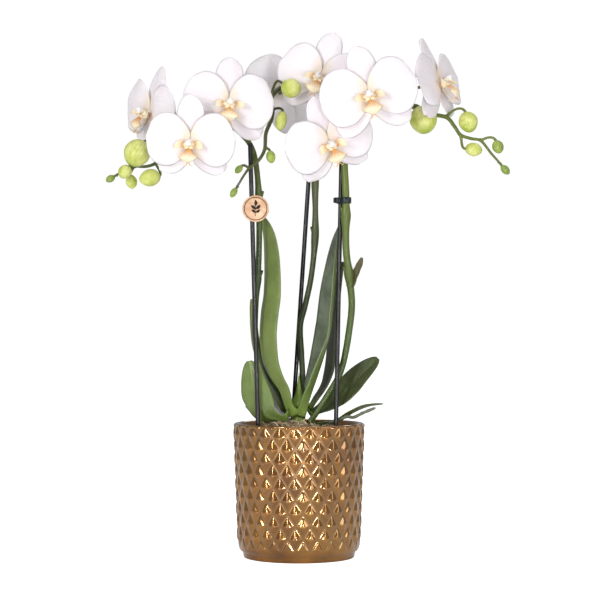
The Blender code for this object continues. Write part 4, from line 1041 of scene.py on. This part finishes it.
axis = addNode(stemTree, "GeometryNodeMeshToCurve", {"Mesh": given["Geometry"]})
ring = addNode(stemTree, "GeometryNodeCurvePrimitiveCircle", {"Resolution": given["Sides"], "Radius": 1.0})
skin = addNode(stemTree, "GeometryNodeCurveToMesh",
               {"Curve": axis.outputs[0], "Profile Curve": ring.outputs[0], "Scale": attributeIn(stemTree, "girth"),
                "Fill Caps": True})
lumps = addNode(stemTree, "ShaderNodeTexNoise",
                {"Vector": addNode(stemTree, "GeometryNodeInputPosition").outputs[0], "W": given["Seed"],
                 "Scale": given["Lump Scale"], "Detail": 3.0}, noise_dimensions="4D")
swell = times(stemTree, minus(stemTree, lumps.outputs[0], 0.5), given["Lumps"])
uneven = addNode(stemTree, "GeometryNodeSetPosition",
                 {"Geometry": skin.outputs[0],
                  "Offset": scaled(stemTree, addNode(stemTree, "GeometryNodeInputNormal").outputs[0], swell)})
marked = addNode(stemTree, "GeometryNodeMeshToPoints",
                 {"Mesh": given["Geometry"],
                  "Selection": maths(stemTree, "GREATER_THAN", attributeIn(stemTree, "bract"), 0.0)})
leafShape = addNode(stemTree, "GeometryNodeObjectInfo", {"Object": given["Scale Leaf"]})
upright = addNode(stemTree, "FunctionNodeAlignRotationToVector",
                  {"Vector": attributeIn(stemTree, "aim", "FLOAT_VECTOR")}, axis="Z")
outwards = addNode(stemTree, "FunctionNodeAlignRotationToVector",
                   {"Rotation": upright.outputs[0], "Vector": attributeIn(stemTree, "out", "FLOAT_VECTOR")},
                   axis="Y", pivot_axis="Z")
scaleLeaves = addNode(stemTree, "GeometryNodeInstanceOnPoints",
                      {"Points": marked.outputs[0], "Instance": leafShape.outputs["Geometry"],
                       "Rotation": outwards.outputs[0], "Scale": attributeIn(stemTree, "bract")})
whole = addNode(stemTree, "GeometryNodeJoinGeometry", {0: uneven.outputs[0]})
stemTree.links.new(scaleLeaves.outputs[0], whole.inputs[0])
closeTree(stemTree, whole.outputs[0], given["Material"], out)

scaleLeafShape = addObject("scaleLeaf", scaleLeafMesh())


# routes are (points, radii); marks are (place, aim, out, size) of scale leaves
def stemMesh(name, routes, marks, finish, sides, lumps, seed):
    points, edges, girth = [], [], []
    for line, radii in routes:
        first = len(points)
        points += line
        girth += radii
        edges += [(i, i + 1) for i in range(first, len(points) - 1)]
    plain = len(points)
    points += [mark[0] for mark in marks]
    mesh = bpy.data.meshes.new(name + "Line")
    mesh.from_pydata(points, edges, [])
    mesh.attributes.new("girth", "FLOAT", "POINT").data.foreach_set("value", girth + [0.0] * len(marks))
    sizes = [0.0] * plain + [mark[3] for mark in marks]
    mesh.attributes.new("bract", "FLOAT", "POINT").data.foreach_set("value", sizes)
    for key, index in (("aim", 1), ("out", 2)):
        values = [0.0, 0.0, 1.0] * plain + [x for mark in marks for x in mark[index]]
        mesh.attributes.new(key, "FLOAT_VECTOR", "POINT").data.foreach_set("vector", values)
    return grown(name, mesh, stemTree, {"Sides": sides, "Lumps": lumps, "Seed": seed,
                                        "Scale Leaf": scaleLeafShape, "Material": finish})


# stakes
stakeRod = {"radius": 0.0018, "tipRounding": 0.0012}


def rodEnds(node):
    points = [v.co for v in frame["nodes"][node].data.vertices]
    middle = sum(p.z for p in points) / len(points)
    low = [p for p in points if p.z < middle]
    high = [p for p in points if p.z >= middle]
    return sum(low, Vector()) / len(low), sum(high, Vector()) / len(high)


rods = {}
for number, node in enumerate(("stake_left", "stake_middle", "stake_right")):
    foot, top = rodEnds(node)
    rods[node] = [foot, top]
    axis = (top - foot).normalized()
    line = [foot.lerp(top, i / 24) for i in range(24)]
    line += [top - axis * stakeRod["tipRounding"], top - axis * stakeRod["tipRounding"] * 0.35, top]
    radii = [stakeRod["radius"] * (1 + 0.03 * noise.noise((i * 0.7, number, 0))) for i in range(25)]
    radii += [stakeRod["radius"] * 0.86, stakeRod["radius"] * 0.45]
    name = camelName(node)
    addPiece(name, stemMesh(name, [(line, radii)], [], stakeCoat, 18, 0.00008, number), "stake", node)

# air root, grey skinned, arching over the rim
airRoot = {"line": [(24, -8.5, 0.5), (32, -9.5, 3), (38, -10, 5.5), (43.5, -10, 5), (51, -10, 8.5), (61, -9.5, 12.5)],
           "radius": 0.0013}
line = smoothLine([onPlant(p) for p in airRoot["line"]], 10)
radii = [airRoot["radius"] * (1 + 0.14 * noise.noise((i * 0.35, 2, 1))) for i in range(len(line))]
radii[-3:] = [airRoot["radius"] * 0.9, airRoot["radius"] * 0.7, airRoot["radius"] * 0.35]
addPiece("airRoot", stemMesh("airRoot", [(line, radii)], [], rootSkin, 16, 0.0003, 4.0), "root", "air_root")
print("stakes and root made")


# flower spikes: points from the crown to the tip, radii in millimetres, and where nodes swell the stem
spikes = rowsOf(("radii", "nodes", "line"), {
    "spike_left": ((2.2, 2.5, 2.3, 1.9, 1.4, 0.9), (7, 9),
        [(-8.8, 3.2, 5), (-11.5, 3.8, 14), (-16, 4.2, 23), (-24, 5.5, 36), (-31, 5.5, 53), (-35, 3, 69),
         (-34.8, -8, 90), (-33, -13, 115), (-31.7, -15, 138), (-31.7, -16, 177), (-34, -16, 205), (-38, -15, 220),
         (-46, -14, 230), (-55, -13, 237), (-70, -12, 244), (-83, -11, 246), (-95, -10, 241), (-103, -9, 229),
         (-108, -9, 216), (-114, -11, 207), (-122, -14, 204), (-131, -16, 204), (-139, -18, 200),
         (-144, -19, 197)]),
    "spike_middle": ((2.4, 2.3, 2.2, 1.9, 1.4, 0.8), (6, 7),
        [(1, 9.5, 6), (3, 11, 30), (2, 13, 54), (1, 14, 77), (5, 15, 94), (10, 16, 118), (13, 16, 150),
         (13, 15, 195), (13, 11, 236), (10, 7, 255), (4, 4, 266), (-4, 1, 271), (-14, -3, 268), (-22, -11, 259),
         (-21, -18, 248), (-22, -23, 240), (-26, -29, 229), (-27, -33, 216), (-32, -35, 207), (-39, -37, 201),
         (-44, -38, 194), (-48, -38, 187)]),
    "spike_right": ((2.3, 2.6, 2.9, 2.2, 1.5, 0.9), (8, 10),
        [(8.8, -6, 1.5), (13, -7, 7), (18, -7, 15), (25, -6, 26), (31.5, -5, 37), (36, -5, 51), (40, -6, 74),
         (42, -9, 96), (39.5, -13, 119), (37.2, -16, 140), (37, -17.5, 165), (37, -18, 184), (36, -17, 209),
         (38, -14, 232), (44, -12, 248), (55, -10, 260), (68, -10, 266), (83, -10, 261), (90, -12, 252),
         (104, -13, 246), (117, -14, 243), (123, -15, 236), (128, -16, 229), (136, -17, 226), (144, -18, 224),
         (152, -19, 214), (159, -20, 206)]),
})
# each flower: hub, the way it faces, how far it leans to the left, its size, its spike and the point it leaves from
flowers = rowsOf(("hub", "face", "lean", "size", "spike", "point", "rise"), {
    "flower_left_outer": ((-118, -12, 247), (-0.82, -0.57, 0.0), -14, 0.98, "spike_left", 16, 9),
    "flower_left_middle": ((-84, -56, 220), (-0.1, -0.97, -0.22), -2, 0.96, "spike_left", 15, -2),
    "flower_left_inner": ((-55, -40, 251), (0.15, -0.98, 0.03), -4, 1.0, "spike_left", 13, 2),
    "flower_back": ((-16, 27, 267), (-0.2, 0.96, 0.18), 38, 0.92, "spike_middle", 11, 2),
    "flower_middle_top": ((17, -18, 274), (-0.2, -0.97, 0.03), -15, 0.96, "spike_middle", 10, 2),
    "flower_middle_low": ((24, -38, 221), (0.2, -0.94, -0.26), 22, 0.98, "spike_middle", 8, 2),
    "flower_right_inner": ((54, -58, 256), (0.0, -1.0, -0.06), 13, 1.04, "spike_right", 15, 2),
    "flower_right_outer": ((110, -22, 269), (0.82, -0.5, 0.22), 6, 0.98, "spike_right", 17, 4),
})
# each bud: middle, the way its tip points, length, thickness, its spike and the point it leaves from
buds = rowsOf(("at", "tip", "length", "width", "spike", "point", "rise"), {
    "bud_left_1": ((-128, -22, 214), (-0.45, -0.35, -0.82), 20, 18.5, "spike_left", 18, 3),
    "bud_left_2": ((-118, -17, 195), (-0.96, -0.1, -0.2), 15, 12, "spike_left", 19, 0),
    "bud_left_3": ((-137, -26, 199), (-0.5, -0.5, -0.7), 10.5, 9.5, "spike_left", 21, 3),
    "bud_left_4": ((-133, -12, 192), (0.2, 0.1, -0.97), 10, 8, "spike_left", 21, -1),
    "bud_left_tip": ((-149, -20, 194), (-0.8, -0.1, -0.5), 7, 5, "spike_left", 23, 0),
    "bud_middle_1": ((-6, -24, 265), (0.75, -0.6, -0.25), 15, 13.5, "spike_middle", 13, 14),
    "bud_middle_2": ((-14, -27, 239), (-0.2, -0.2, -0.95), 14, 8, "spike_middle", 14, 3),
    "bud_middle_3": ((-28, -22, 244), (-0.25, 0.1, -0.95), 9, 5, "spike_middle", 15, 2),
    "bud_middle_4": ((-22, -37, 210), (0.15, -0.2, -0.95), 9, 6.5, "spike_middle", 17, 2),
    "bud_middle_5": ((-47, -41, 200), (-0.6, -0.3, -0.7), 7, 4.6, "spike_middle", 19, 1),
    "bud_middle_tip": ((-51, -39, 182), (-0.5, -0.1, -0.85), 7.5, 4.6, "spike_middle", 21, 0),
    "bud_right_1": ((98, -24, 240), (0.15, -0.55, -0.82), 21, 19, "spike_right", 18, 3),
    "bud_right_2": ((134, -17, 239), (0.25, -0.2, -0.95), 15, 13.5, "spike_right", 20, 6),
    "bud_right_3": ((138, -21, 217), (0.95, -0.2, -0.15), 12, 9.5, "spike_right", 22, -4),
    "bud_right_4": ((157, -22, 219), (0.3, -0.15, -0.94), 9.5, 8, "spike_right", 24, 3),
    "bud_right_tip": ((163, -20, 201), (0.65, 0.0, -0.76), 8, 5.5, "spike_right", 26, 0),
})
stakes = rowsOf(("spike", "clip", "tab"), {
    "stake_left": ("spike_left", 170, -1),
    "stake_middle": ("spike_middle", 205, 1),
    "stake_right": ("spike_right", 177, 1),
})
spikeSkin = {"perSpan": 8, "nodeSwell": 0.42, "nodeSpan": 0.30, "sheath": 0.0085, "stalkScale": 0.0034,
             "stalk": 0.0012, "budStalk": 0.0010, "sides": 18, "lumps": 0.00030}
hub = {"radius": 0.0032}
spikeFinish = {"spike_left": stemLeft, "spike_middle": stemMiddle, "spike_right": stemRight}


def flowerFrame(made):
    face = Vector(made["face"]).normalized()
    right = Vector((0, 0, 1)).cross(face).normalized()
    turn = Matrix((right, face.cross(right), face)).transposed().to_4x4()
    return (Matrix.Translation(onPlant(made["hub"])) @ turn @ Matrix.Rotation(math.radians(made["lean"]), 4, "Z")
            @ Matrix.Scale(made["size"], 4))


def stalkLine(start, end, into, rise):
    span = (end - start).length
    lift = Vector((0, 0, rise * mm))
    return bezierLine(start, start.lerp(end, 0.25) + lift, end - into * span * 0.38 + lift * 0.4, end, 16)


carried = {node: [] for node in spikes}
for node, made in flowers.items():
    face = Vector(made["face"]).normalized()
    end = onPlant(made["hub"]) - face * (hub["radius"] * made["size"] * 0.75)
    carried[made["spike"]].append((made["point"], end, face, made["rise"], spikeSkin["stalk"], 1.5))
for node, made in buds.items():
    tip = Vector(made["tip"]).normalized()
    end = onPlant(made["at"]) - tip * (made["length"] * mm * 0.46)
    carried[made["spike"]].append((made["point"], end, tip, made["rise"], spikeSkin["budStalk"], 1.25))

spikePaths = {}
for number, (node, made) in enumerate(spikes.items()):
    per = spikeSkin["perSpan"]
    path = smoothLine([onPlant(p) for p in made["line"]], per)
    radii = []
    for i in range(len(path)):
        near = max(math.exp(-((i / per - n) / spikeSkin["nodeSpan"]) ** 2) for n in made["nodes"])
        radii.append(between(made["radii"], i / (len(path) - 1)) * mm * (1 + spikeSkin["nodeSwell"] * near))
    spikePaths[node] = path
    routes, marks = [(path, radii)], []
    for n in made["nodes"]:
        along = (path[n * per + 1] - path[n * per - 1]).normalized()
        out = Vector((1 if n % 2 else -1, -0.5, 0)).cross(along).cross(along) * -1
        out.normalize()
        marks.append((path[n * per] + out * radii[n * per] * 0.55 - along * 0.001, along + out * 0.12, out,
                      spikeSkin["sheath"]))
    for point, end, into, rise, girth, flare in carried[node]:
        start = path[point * per]
        line = stalkLine(start, end, into, rise)
        widths = [girth * (1 + 0.55 * math.exp(-(i / 2.2) ** 2) + (flare - 1) * math.exp(-((16 - i) / 2.0) ** 2))
                  for i in range(17)]
        routes.append((line, widths))
        along = (path[min(point * per + 1, len(path) - 1)] - path[point * per - 1]).normalized()
        leave = (line[2] - line[0]).normalized()
        away = (leave - along * leave.dot(along)).normalized()
        marks.append((start + away * radii[point * per] * 0.2 - along * 0.0022, leave + along * 0.7, away * -1,
                      spikeSkin["stalkScale"]))
    addPiece(camelName(node), stemMesh(camelName(node), routes, marks, spikeFinish[node], spikeSkin["sides"],
                                       spikeSkin["lumps"], float(number)), "stem", node)
bpy.data.objects.remove(scaleLeafShape)
print("spikes made")

# flowers, in the flower's own frame: X to the right, Y up, Z towards the viewer
tepalBlade = {"thickness": 0.00075, "rows": 34, "columns": 26, "layer": 0.0012, "roll": 0.0016,
              "petalLength": 0.0362, "petalWidth": 0.0440, "petalRaise": 8, "dorsal": 0.0385, "lateral": 0.0355,
              "sepalWidth": 0.0228, "lateralTurn": 132, "widest": 0.54, "cup": 0.0030, "reflex": 0.0040}


def tepalWidth(t, base, widest):
    rise = base + (1 - base) * math.sin(min(t / widest, 1) * math.pi / 2) ** 0.62
    return rise * math.sqrt(max(0.0, 1 - (max(t - widest, 0) / (1.0001 - widest)) ** 2.15))


def addTepal(shell, frame, rng, angle, length, width, base, layer, cup, petal):
    turn = Matrix.Rotation(math.radians(angle + rng.uniform(-2, 2)), 4, "Z")
    phase, seed = rng.uniform(0, math.tau), rng.uniform(0, 50)
    ruffle = 0.0011 if petal else 0.0005
    arch = rng.uniform(0.75, 1.25)
    tilt = rng.uniform(-0.05, 0.05)
    length *= rng.uniform(0.98, 1.02)
    b = tepalBlade

    def pointAt(s, t):
        half = 0.5 * width * tepalWidth(t, base, b["widest"])
        lift = layer + cup * math.sin(t * math.pi * 0.55) - b["reflex"] * arch * t * t - b["roll"] * s * s * t
        lift += tilt * length * t * s * 0.4
        lift += ruffle * t * abs(s) ** 2.5 * math.sin(phase + t * 9 + s * 2.2)
        lift += 0.0007 * t * noise.noise((s * 1.6 + seed, t * 3.0, seed))
        lift += -0.0006 * math.exp(-(s / 0.07) ** 2) * math.sin(math.pi * min(t * 1.2, 1)) * (1 if petal else -0.6)
        swing = 0.0012 * noise.noise((t * 4 + seed, s, 3)) * abs(s)
        return frame @ (turn @ Vector((length * t + swing, half * s, lift)))

    def thicknessAt(s, t):
        return b["thickness"] * (1.5 - 0.8 * t) * math.sqrt(max(0.0, 1 - s ** 6))

    addBlade(shell, pointAt, thicknessAt, b["rows"], b["columns"] if petal else 18, tip=1.6)


def tepalsMesh(name, made, seed):
    rng = random.Random(seed)
    b = tepalBlade
    frame = flowerFrame(made)
    shell = newShell()
    addEgg(shell, frame, [hub["radius"]] * 3, 20, 12)
    for angle in (b["petalRaise"], 180 - b["petalRaise"]):
        addTepal(shell, frame, rng, angle, b["petalLength"], b["petalWidth"], 0.14, b["layer"], b["cup"], True)
    around = [(90, b["dorsal"]), (90 + b["lateralTurn"], b["lateral"]), (90 - b["lateralTurn"], b["lateral"])]
    for angle, length in around:
        addTepal(shell, frame, rng, angle, length, b["sepalWidth"], 0.26, -b["layer"], 0.0, False)
    return shellMesh(name, shell, petalWhite)


# lip: side lobes that stand up, a yellow callus, an arrow-shaped middle lobe with two curled tendrils,
# and the white column above them
lipShape = {"stretch": (1.8, 1.35, 1.2), "front": 0.0032, "middleLength": 0.0112, "middleWidth": 0.0088,
            "sideLength": 0.0078, "sideWidth": 0.0072, "blade": 0.0007, "tendril": 0.00034, "column": 0.0085}


def lipMesh(name, made, seed):
    rng = random.Random(seed)
    frame = flowerFrame(made) @ Matrix.Diagonal((*lipShape["stretch"], 1))
    c = lipShape
    shell = newShell()
    root = Vector((0, -0.0018, c["front"] + 0.0010))
    addEgg(shell, frame @ Matrix.Translation((0, -0.0014, c["front"] + 0.0014)), (0.0034, 0.0026, 0.0024), 16, 10)

    def middle(s, t):
        wide = 0.26 + 0.74 * math.exp(-((t - 0.52) / 0.20) ** 2) if t < 0.52 else 1 - 0.86 * ((t - 0.52) / 0.48) ** 1.15
        half = c["middleWidth"] / 2 * wide
        drop = -c["middleLength"] * 0.80 * t
        reach = c["middleLength"] * (0.62 * math.sin(t * 2.4) + 0.10)
        return frame @ (root + Vector((half * s, drop - 0.0012 * s * s * wide, reach - 0.0016 * s * s * wide)))

    addBlade(shell, middle, lambda s, t: c["blade"] * 1.6 * math.sqrt(max(0, 1 - s ** 4)), 20, 12, tip=1.2)
    for sign in (-1, 1):
        spin = rng.uniform(-0.08, 0.08)

        def sideLobe(s, t, sign=sign, spin=spin):
            wide = c["sideWidth"] / 2 * (0.30 + 0.70 * math.sin(min(t / 0.62, 1) * math.pi / 2))
            wide *= math.sqrt(max(0.0, 1 - (max(t - 0.62, 0) / 0.381) ** 2))
            sweep = 0.55 + spin + 1.15 * t
            x = sign * (0.0016 + c["sideLength"] * 0.62 * math.sin(sweep) * t)
            y = -0.0012 + c["sideLength"] * 0.50 * t * math.cos(sweep) + wide * s * 0.62
            z = 0.0008 + c["sideLength"] * 0.55 * t + wide * s * -0.55 + 0.0012 * s * s
            return frame @ Vector((x, y, z + c["front"]))

        addBlade(shell, sideLobe, lambda s, t: c["blade"] * math.sqrt(max(0, 1 - s ** 4)), 16, 12, tip=1.5)
        callus = frame @ Matrix.Translation((sign * 0.0010, -0.0022, c["front"] + 0.0040))
        addEgg(shell, callus, (0.0010, 0.0011, 0.0012), 12, 8)
        line = []
        for i in range(12):
            t = i / 11
            curl = t * 4.2
            hang = -c["middleLength"] * 0.80 - 0.0022 * math.sin(curl * 0.7)
            forward = c["middleLength"] * 0.50 - 0.0030 * t + 0.0014 * math.sin(curl)
            line.append(frame @ (root + Vector((sign * (0.0003 + 0.0026 * t), hang, forward))))
        addTube(shell, line, [c["tendril"] * (1.3 - 0.8 * i / 11) for i in range(12)], 7)

    # the column: a hooded rod, flattened below, with a rounded cap over its tip
    line = [frame @ Vector((0, 0.0002 + 0.0016 * (i / 10) ** 2, c["front"] - 0.0005 + c["column"] * i / 10))
            for i in range(11)]
    girth = [0.0019, 0.0019, 0.0019, 0.0019, 0.0020, 0.0022, 0.0024, 0.0025, 0.0024, 0.0019, 0.0009]
    addTube(shell, line, [g * made["size"] for g in girth], 18, slot=1, squash=0.86)
    cap = frame @ Matrix.Translation((0, 0.0004, c["front"] + c["column"] - 0.0022)) @ Matrix.Rotation(-0.5, 4, "X")
    addEgg(shell, cap, (0.0016, 0.0015, 0.0017), 14, 9, slot=1)
    return shellMesh(name, shell, lipYellow, lipWhite)


for seed, (node, made) in enumerate(flowers.items()):
    name = camelName(node)
    addPiece(name + "Tepals", tepalsMesh(name + "Tepals", made, 20 + seed), "petal", node + "_tepals")
    addPiece(name + "Lip", lipMesh(name + "Lip", made, 60 + seed), "lip", node + "_lip")
print("flowers made")

# buds: three sepals closed over each other, with a seam between each pair
budShape = {"plump": 1.14, "segments": 48, "rings": 28, "seam": 0.055, "seamWidth": 0.16, "taper": 0.55}


def budMesh(name, made, seed):
    rng = random.Random(seed)
    tip = Vector(made["tip"]).normalized()
    matrix = Matrix.Translation(onPlant(made["at"])) @ tip.to_track_quat("Z", "Y").to_matrix().to_4x4()
    wide, long = (made[side] * mm / 2 * budShape["plump"] for side in ("width", "length"))
    start = rng.uniform(0, math.tau)

    def ridge(angle, t):
        taper = 1 - budShape["taper"] * 0.5 * max(2 * t - 1, 0) ** 1.4
        around = (angle - start) % (math.tau / 3) - math.pi / 3
        edge = abs(abs(around) - math.pi / 3)
        seam = budShape["seam"] * math.exp(-(edge / budShape["seamWidth"]) ** 2) * min(1, t * 1.6)
        lobes = 0.03 * math.cos(3 * (angle - start)) * t
        rough = 0.02 * noise.noise((math.cos(angle) * 1.5, math.sin(angle) * 1.5, t * 3 + seed))
        return taper * (1 - seam + lobes + rough)

    shell = newShell()
    addEgg(shell, matrix, (wide, wide, long), budShape["segments"], budShape["rings"], ridge=ridge)
    return shellMesh(name, shell, budGreen if made["length"] > 9.5 else budYoung)


for seed, (node, made) in enumerate(buds.items()):
    name = camelName(node)
    addPiece(name, budMesh(name, made, seed), "bud", node)
print("buds made")

# spring clips: a band round stem and stake, with two finger plates and a hinge pin
clipShape = {"height": 0.0050, "band": 0.0011, "plate": 0.0058, "round": 0.0004, "pin": 0.0007}


# a band of rounded section swept round a closed level outline
def addBand(shell, outline, thick, height, middle, soft):
    section = [(-thick / 2, -height / 2 + soft), (-thick / 2 + soft, -height / 2), (thick / 2 - soft, -height / 2),
               (thick / 2, -height / 2 + soft), (thick / 2, height / 2 - soft), (thick / 2 - soft, height / 2),
               (-thick / 2 + soft, height / 2), (-thick / 2, height / 2 - soft)]
    rings = []
    for i, p in enumerate(outline):
        ahead, behind = outline[(i + 1) % len(outline)], outline[i - 1]
        out = (ahead - behind).normalized()
        out = Vector((out.y, -out.x, 0))
        rings.append([addPoint(shell, middle + p + out * a + Vector((0, 0, b))) for a, b in section])
    for last, ring in zip(rings, rings[1:] + rings[:1]):
        for k in range(8):
            n = (k + 1) % 8
            addFace(shell, [last[k], last[n], ring[n], ring[k]])


def clipMesh(name, made, rod, path):
    height = rimHeight + made["clip"] * mm
    stem, stake = atHeight(path, height), atHeight(rod, height)
    across = (stake - stem) * Vector((1, 1, 0))
    reach = across.length
    along = across.normalized()
    side = Vector((-along.y, along.x, 0))
    stemRadius = min(between(spikes[made["spike"]]["radii"], 0.35) * mm * 1.08, 0.0030)
    outline = []
    for i in range(13):
        angle = math.pi / 2 + math.pi * i / 12
        outline.append(along * math.cos(angle) * (stemRadius + 0.0008) + side * math.sin(angle) * (stemRadius + 0.0008))
    for i in range(13):
        angle = -math.pi / 2 + math.pi * i / 12
        rodRadius = stakeRod["radius"] + 0.0008
        outline.append(along * (reach + math.cos(angle) * rodRadius) + side * math.sin(angle) * rodRadius)
    shell = newShell()
    addBand(shell, outline, clipShape["band"], clipShape["height"], stem, clipShape["round"])
    edge = stemRadius + 0.0006
    for share in (0.10, 0.42):
        plateLine = [stem + along * reach * share + side * made["tab"] * (edge + clipShape["plate"] * i / 6)
                     + along * (0.0010 if share > 0.2 else -0.0010) * (i / 6) ** 2 for i in range(7)]

        def plate(s, t, plateLine=plateLine):
            place = t * 6
            index = min(int(place), 5)
            p = plateLine[index].lerp(plateLine[index + 1], place - index)
            rounded = math.sqrt(max(0.0, 1 - max(t - 0.7, 0) ** 2 * 6))
            return p + Vector((0, 0, s * clipShape["height"] * 0.46 * rounded))

        addBlade(shell, plate, lambda s, t: 0.0011, 10, 8, tip=1.0)
        for i in range(3):
            middle = plateLine[4] + side * made["tab"] * 0.0010 * (i - 1)
            addTube(shell, [middle + Vector((0, 0, z * clipShape["height"] * 0.36)) for z in (-1, 0, 1)],
                    [0.0006, 0.00068, 0.0006], 8)
    pinPlace = stem + along * reach * 0.26 + side * made["tab"] * (edge + 0.0010)
    addTube(shell, [pinPlace + Vector((0, 0, z * clipShape["height"] * 0.52)) for z in (-1, -0.5, 0.5, 1)],
            [clipShape["pin"]] * 4, 12)
    return shellMesh(name, shell, clipPlastic)


for node, made in stakes.items():
    clipNode = node.replace("stake", "clip")
    name = camelName(clipNode)
    addPiece(name, clipMesh(name, made, rods[node], spikePaths[made["spike"]]), "clip", clipNode)

# name tag: a wooden disc with a burnt ring and a plain sprig, and no words
nameTag = {"soft": 0.00035, "ring": 0.0006, "ringInset": 0.0016, "inlay": 0.00012, "leafLength": 0.0052,
           "leafWidth": 0.0026}


def tagMesh():
    low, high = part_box("name_tag")
    middle, radius, thick = (low + high) / 2, (high.x - low.x) / 2, high.y - low.y
    c = nameTag
    shell = newShell()
    profile = [(0, -thick / 2), (radius * 0.5, -thick / 2), (radius - c["soft"], -thick / 2),
               (radius - c["soft"] * 0.3, -thick / 2 + c["soft"] * 0.3), (radius, -thick / 2 + c["soft"]),
               (radius, thick / 2 - c["soft"]), (radius - c["soft"] * 0.3, thick / 2 - c["soft"] * 0.3),
               (radius - c["soft"], thick / 2), (radius * 0.5, thick / 2), (0, thick / 2)]
    addTurned(shell, profile, 72)
    ringRadius = radius - c["ringInset"]
    outline = [Vector((math.cos(math.tau * i / 72) * ringRadius, math.sin(math.tau * i / 72) * ringRadius, 0))
               for i in range(72)]
    burnt = len(shell["faces"])
    addBand(shell, outline, c["ring"], c["inlay"] * 2, Vector((0, 0, thick / 2)), 0.00004)

    def sprigLeaf(base, angle, length, width):
        turn = Matrix.Rotation(angle, 4, "Z")

        def pointAt(s, t):
            half = width / 2 * math.sin(math.pi * min(1, t * 0.98 + 0.01)) ** 0.8
            return Vector((*base, thick / 2)) + turn @ Vector((half * s + 0.0004 * math.sin(t * 3), length * t, 0))

        addBlade(shell, pointAt, lambda s, t: c["inlay"] * 2, 10, 6, tip=1.1)

    stemLine = [Vector((-0.0004 + 0.0006 * math.sin(i * 0.3), -0.0058 + 0.0009 * i, thick / 2)) for i in range(10)]
    addTube(shell, stemLine, [0.00034 - 0.00002 * i for i in range(10)], 8, squash=0.5)
    for lift, angle, size in ((-0.0034, 0.95, 0.8), (-0.0030, -0.95, 0.8), (-0.0008, 0.85, 0.95),
                              (-0.0002, -0.85, 0.95), (0.0018, 0.05, 1.0)):
        sprigLeaf((0.0, lift), angle, c["leafLength"] * size, c["leafWidth"] * size)
    for i in range(burnt, len(shell["faces"])):
        shell["slot"][i] = 1
    mesh = shellMesh("nameTag", shell, tagWood, tagBurn)
    mesh.transform(Matrix.Translation(middle) @ Matrix.Rotation(math.radians(90), 4, "X"))
    return mesh


addPiece("nameTag", tagMesh(), "tag_wood", "name_tag")
print("clips and tag made")

# backdrop, light and camera
studio = {"floor": 6.0, "key": 8.6, "fill": 6.6, "back": 5.0, "above": 7.0,
          "strips": 6.0, "low": 0.2, "world": 0.28, "glow": 1.0}


def addLight(name, place, target, width, height, power):
    data = bpy.data.lights.new(name, "AREA")
    data.shape = "RECTANGLE"
    data.energy, data.size, data.size_y = power, width, height
    lamp = addObject(name, data)
    lamp.location = place
    lamp.visible_camera = False
    lamp.rotation_euler = (Vector(target) - Vector(place)).to_track_quat("-Z", "Y").to_euler()


middle = (cadBox[0] + cadBox[1]) / 2
addLight("keyLight", (-1.1, -1.4, 0.95), middle, 0.7, 1.0, studio["key"])
addLight("fillLight", (1.4, -1.1, 0.6), middle, 0.6, 1.0, studio["fill"])
addLight("topLight", (0.1, 0.1, 1.7), middle, 1.3, 1.0, studio["above"])
addLight("backLight", (0.3, 1.4, 1.1), middle, 0.9, 0.7, studio["back"])
addLight("leftStrip", (-0.75, -1.3, 0.42), (0, 0, 0.06), 0.10, 0.45, studio["strips"])
addLight("lowStrip", (0, -0.42, 0.02), (0, 0, 0.05), 0.9, 0.06, studio["low"])
addLight("rightStrip", (0.30, -1.25, 0.10), (0, 0, 0.06), 0.10, 0.18, studio["strips"] * 0.6)

# a plain pale floor; its glow is only for the view, so that it reads as white
floorShell = newShell()
half = studio["floor"]
corners = ((-half, -half, 0), (half, -half, 0), (half, half, 0), (-half, half, 0))
addFace(floorShell, [addPoint(floorShell, corner) for corner in corners])
floorMaterial, tree, shader, co, uv = newMaterial("floorPale", Roughness=0.9, Specular_IOR_Level=0.1,
                                                  Emission_Strength=studio["glow"])
tone = placed(tree, mottleGroup, Vector=co, Scale=3.0, Contrast=1.0, Dark=(0.90, 0.90, 0.90, 1),
              Light=(0.94, 0.94, 0.94, 1))
seen = addNode(tree, "ShaderNodeLightPath").outputs["Is Camera Ray"]
feed(tree, shader, Base_Color=tone.outputs["Color"],
     Emission_Color=mixed(tree, seen, (0, 0, 0, 1), tone.outputs["Color"]))
floorMesh = shellMesh("studioFloor", floorShell, floorMaterial)
if floorMesh.polygons[0].normal.z < 0:
    floorMesh.flip_normals()
studioFloor = addObject("studioFloor", floorMesh)

# soft white light, the same from every direction; the backdrop reads as white
world = bpy.data.worlds.new("studioWorld")
bpy.context.scene.world = world
world.use_nodes = True
tree = world.node_tree
seen = addNode(tree, "ShaderNodeLightPath").outputs["Is Camera Ray"]
tree.links.new(remap(tree, seen, 0.0, 1.0, studio["world"], 1.02), tree.nodes["Background"].inputs["Strength"])
tree.nodes["Background"].inputs["Color"].default_value = (1, 1, 1, 1)
bpy.context.scene.view_settings.view_transform = "Standard"

lens = bpy.data.cameras.new("productCamera")
lens.lens = 120
lens.sensor_width = 36
camera = addObject("productCamera", lens)
camera.location = (0, -1.6, 0.2052)
camera.rotation_euler = (math.radians(90), 0, 0)
bpy.context.scene.camera = camera
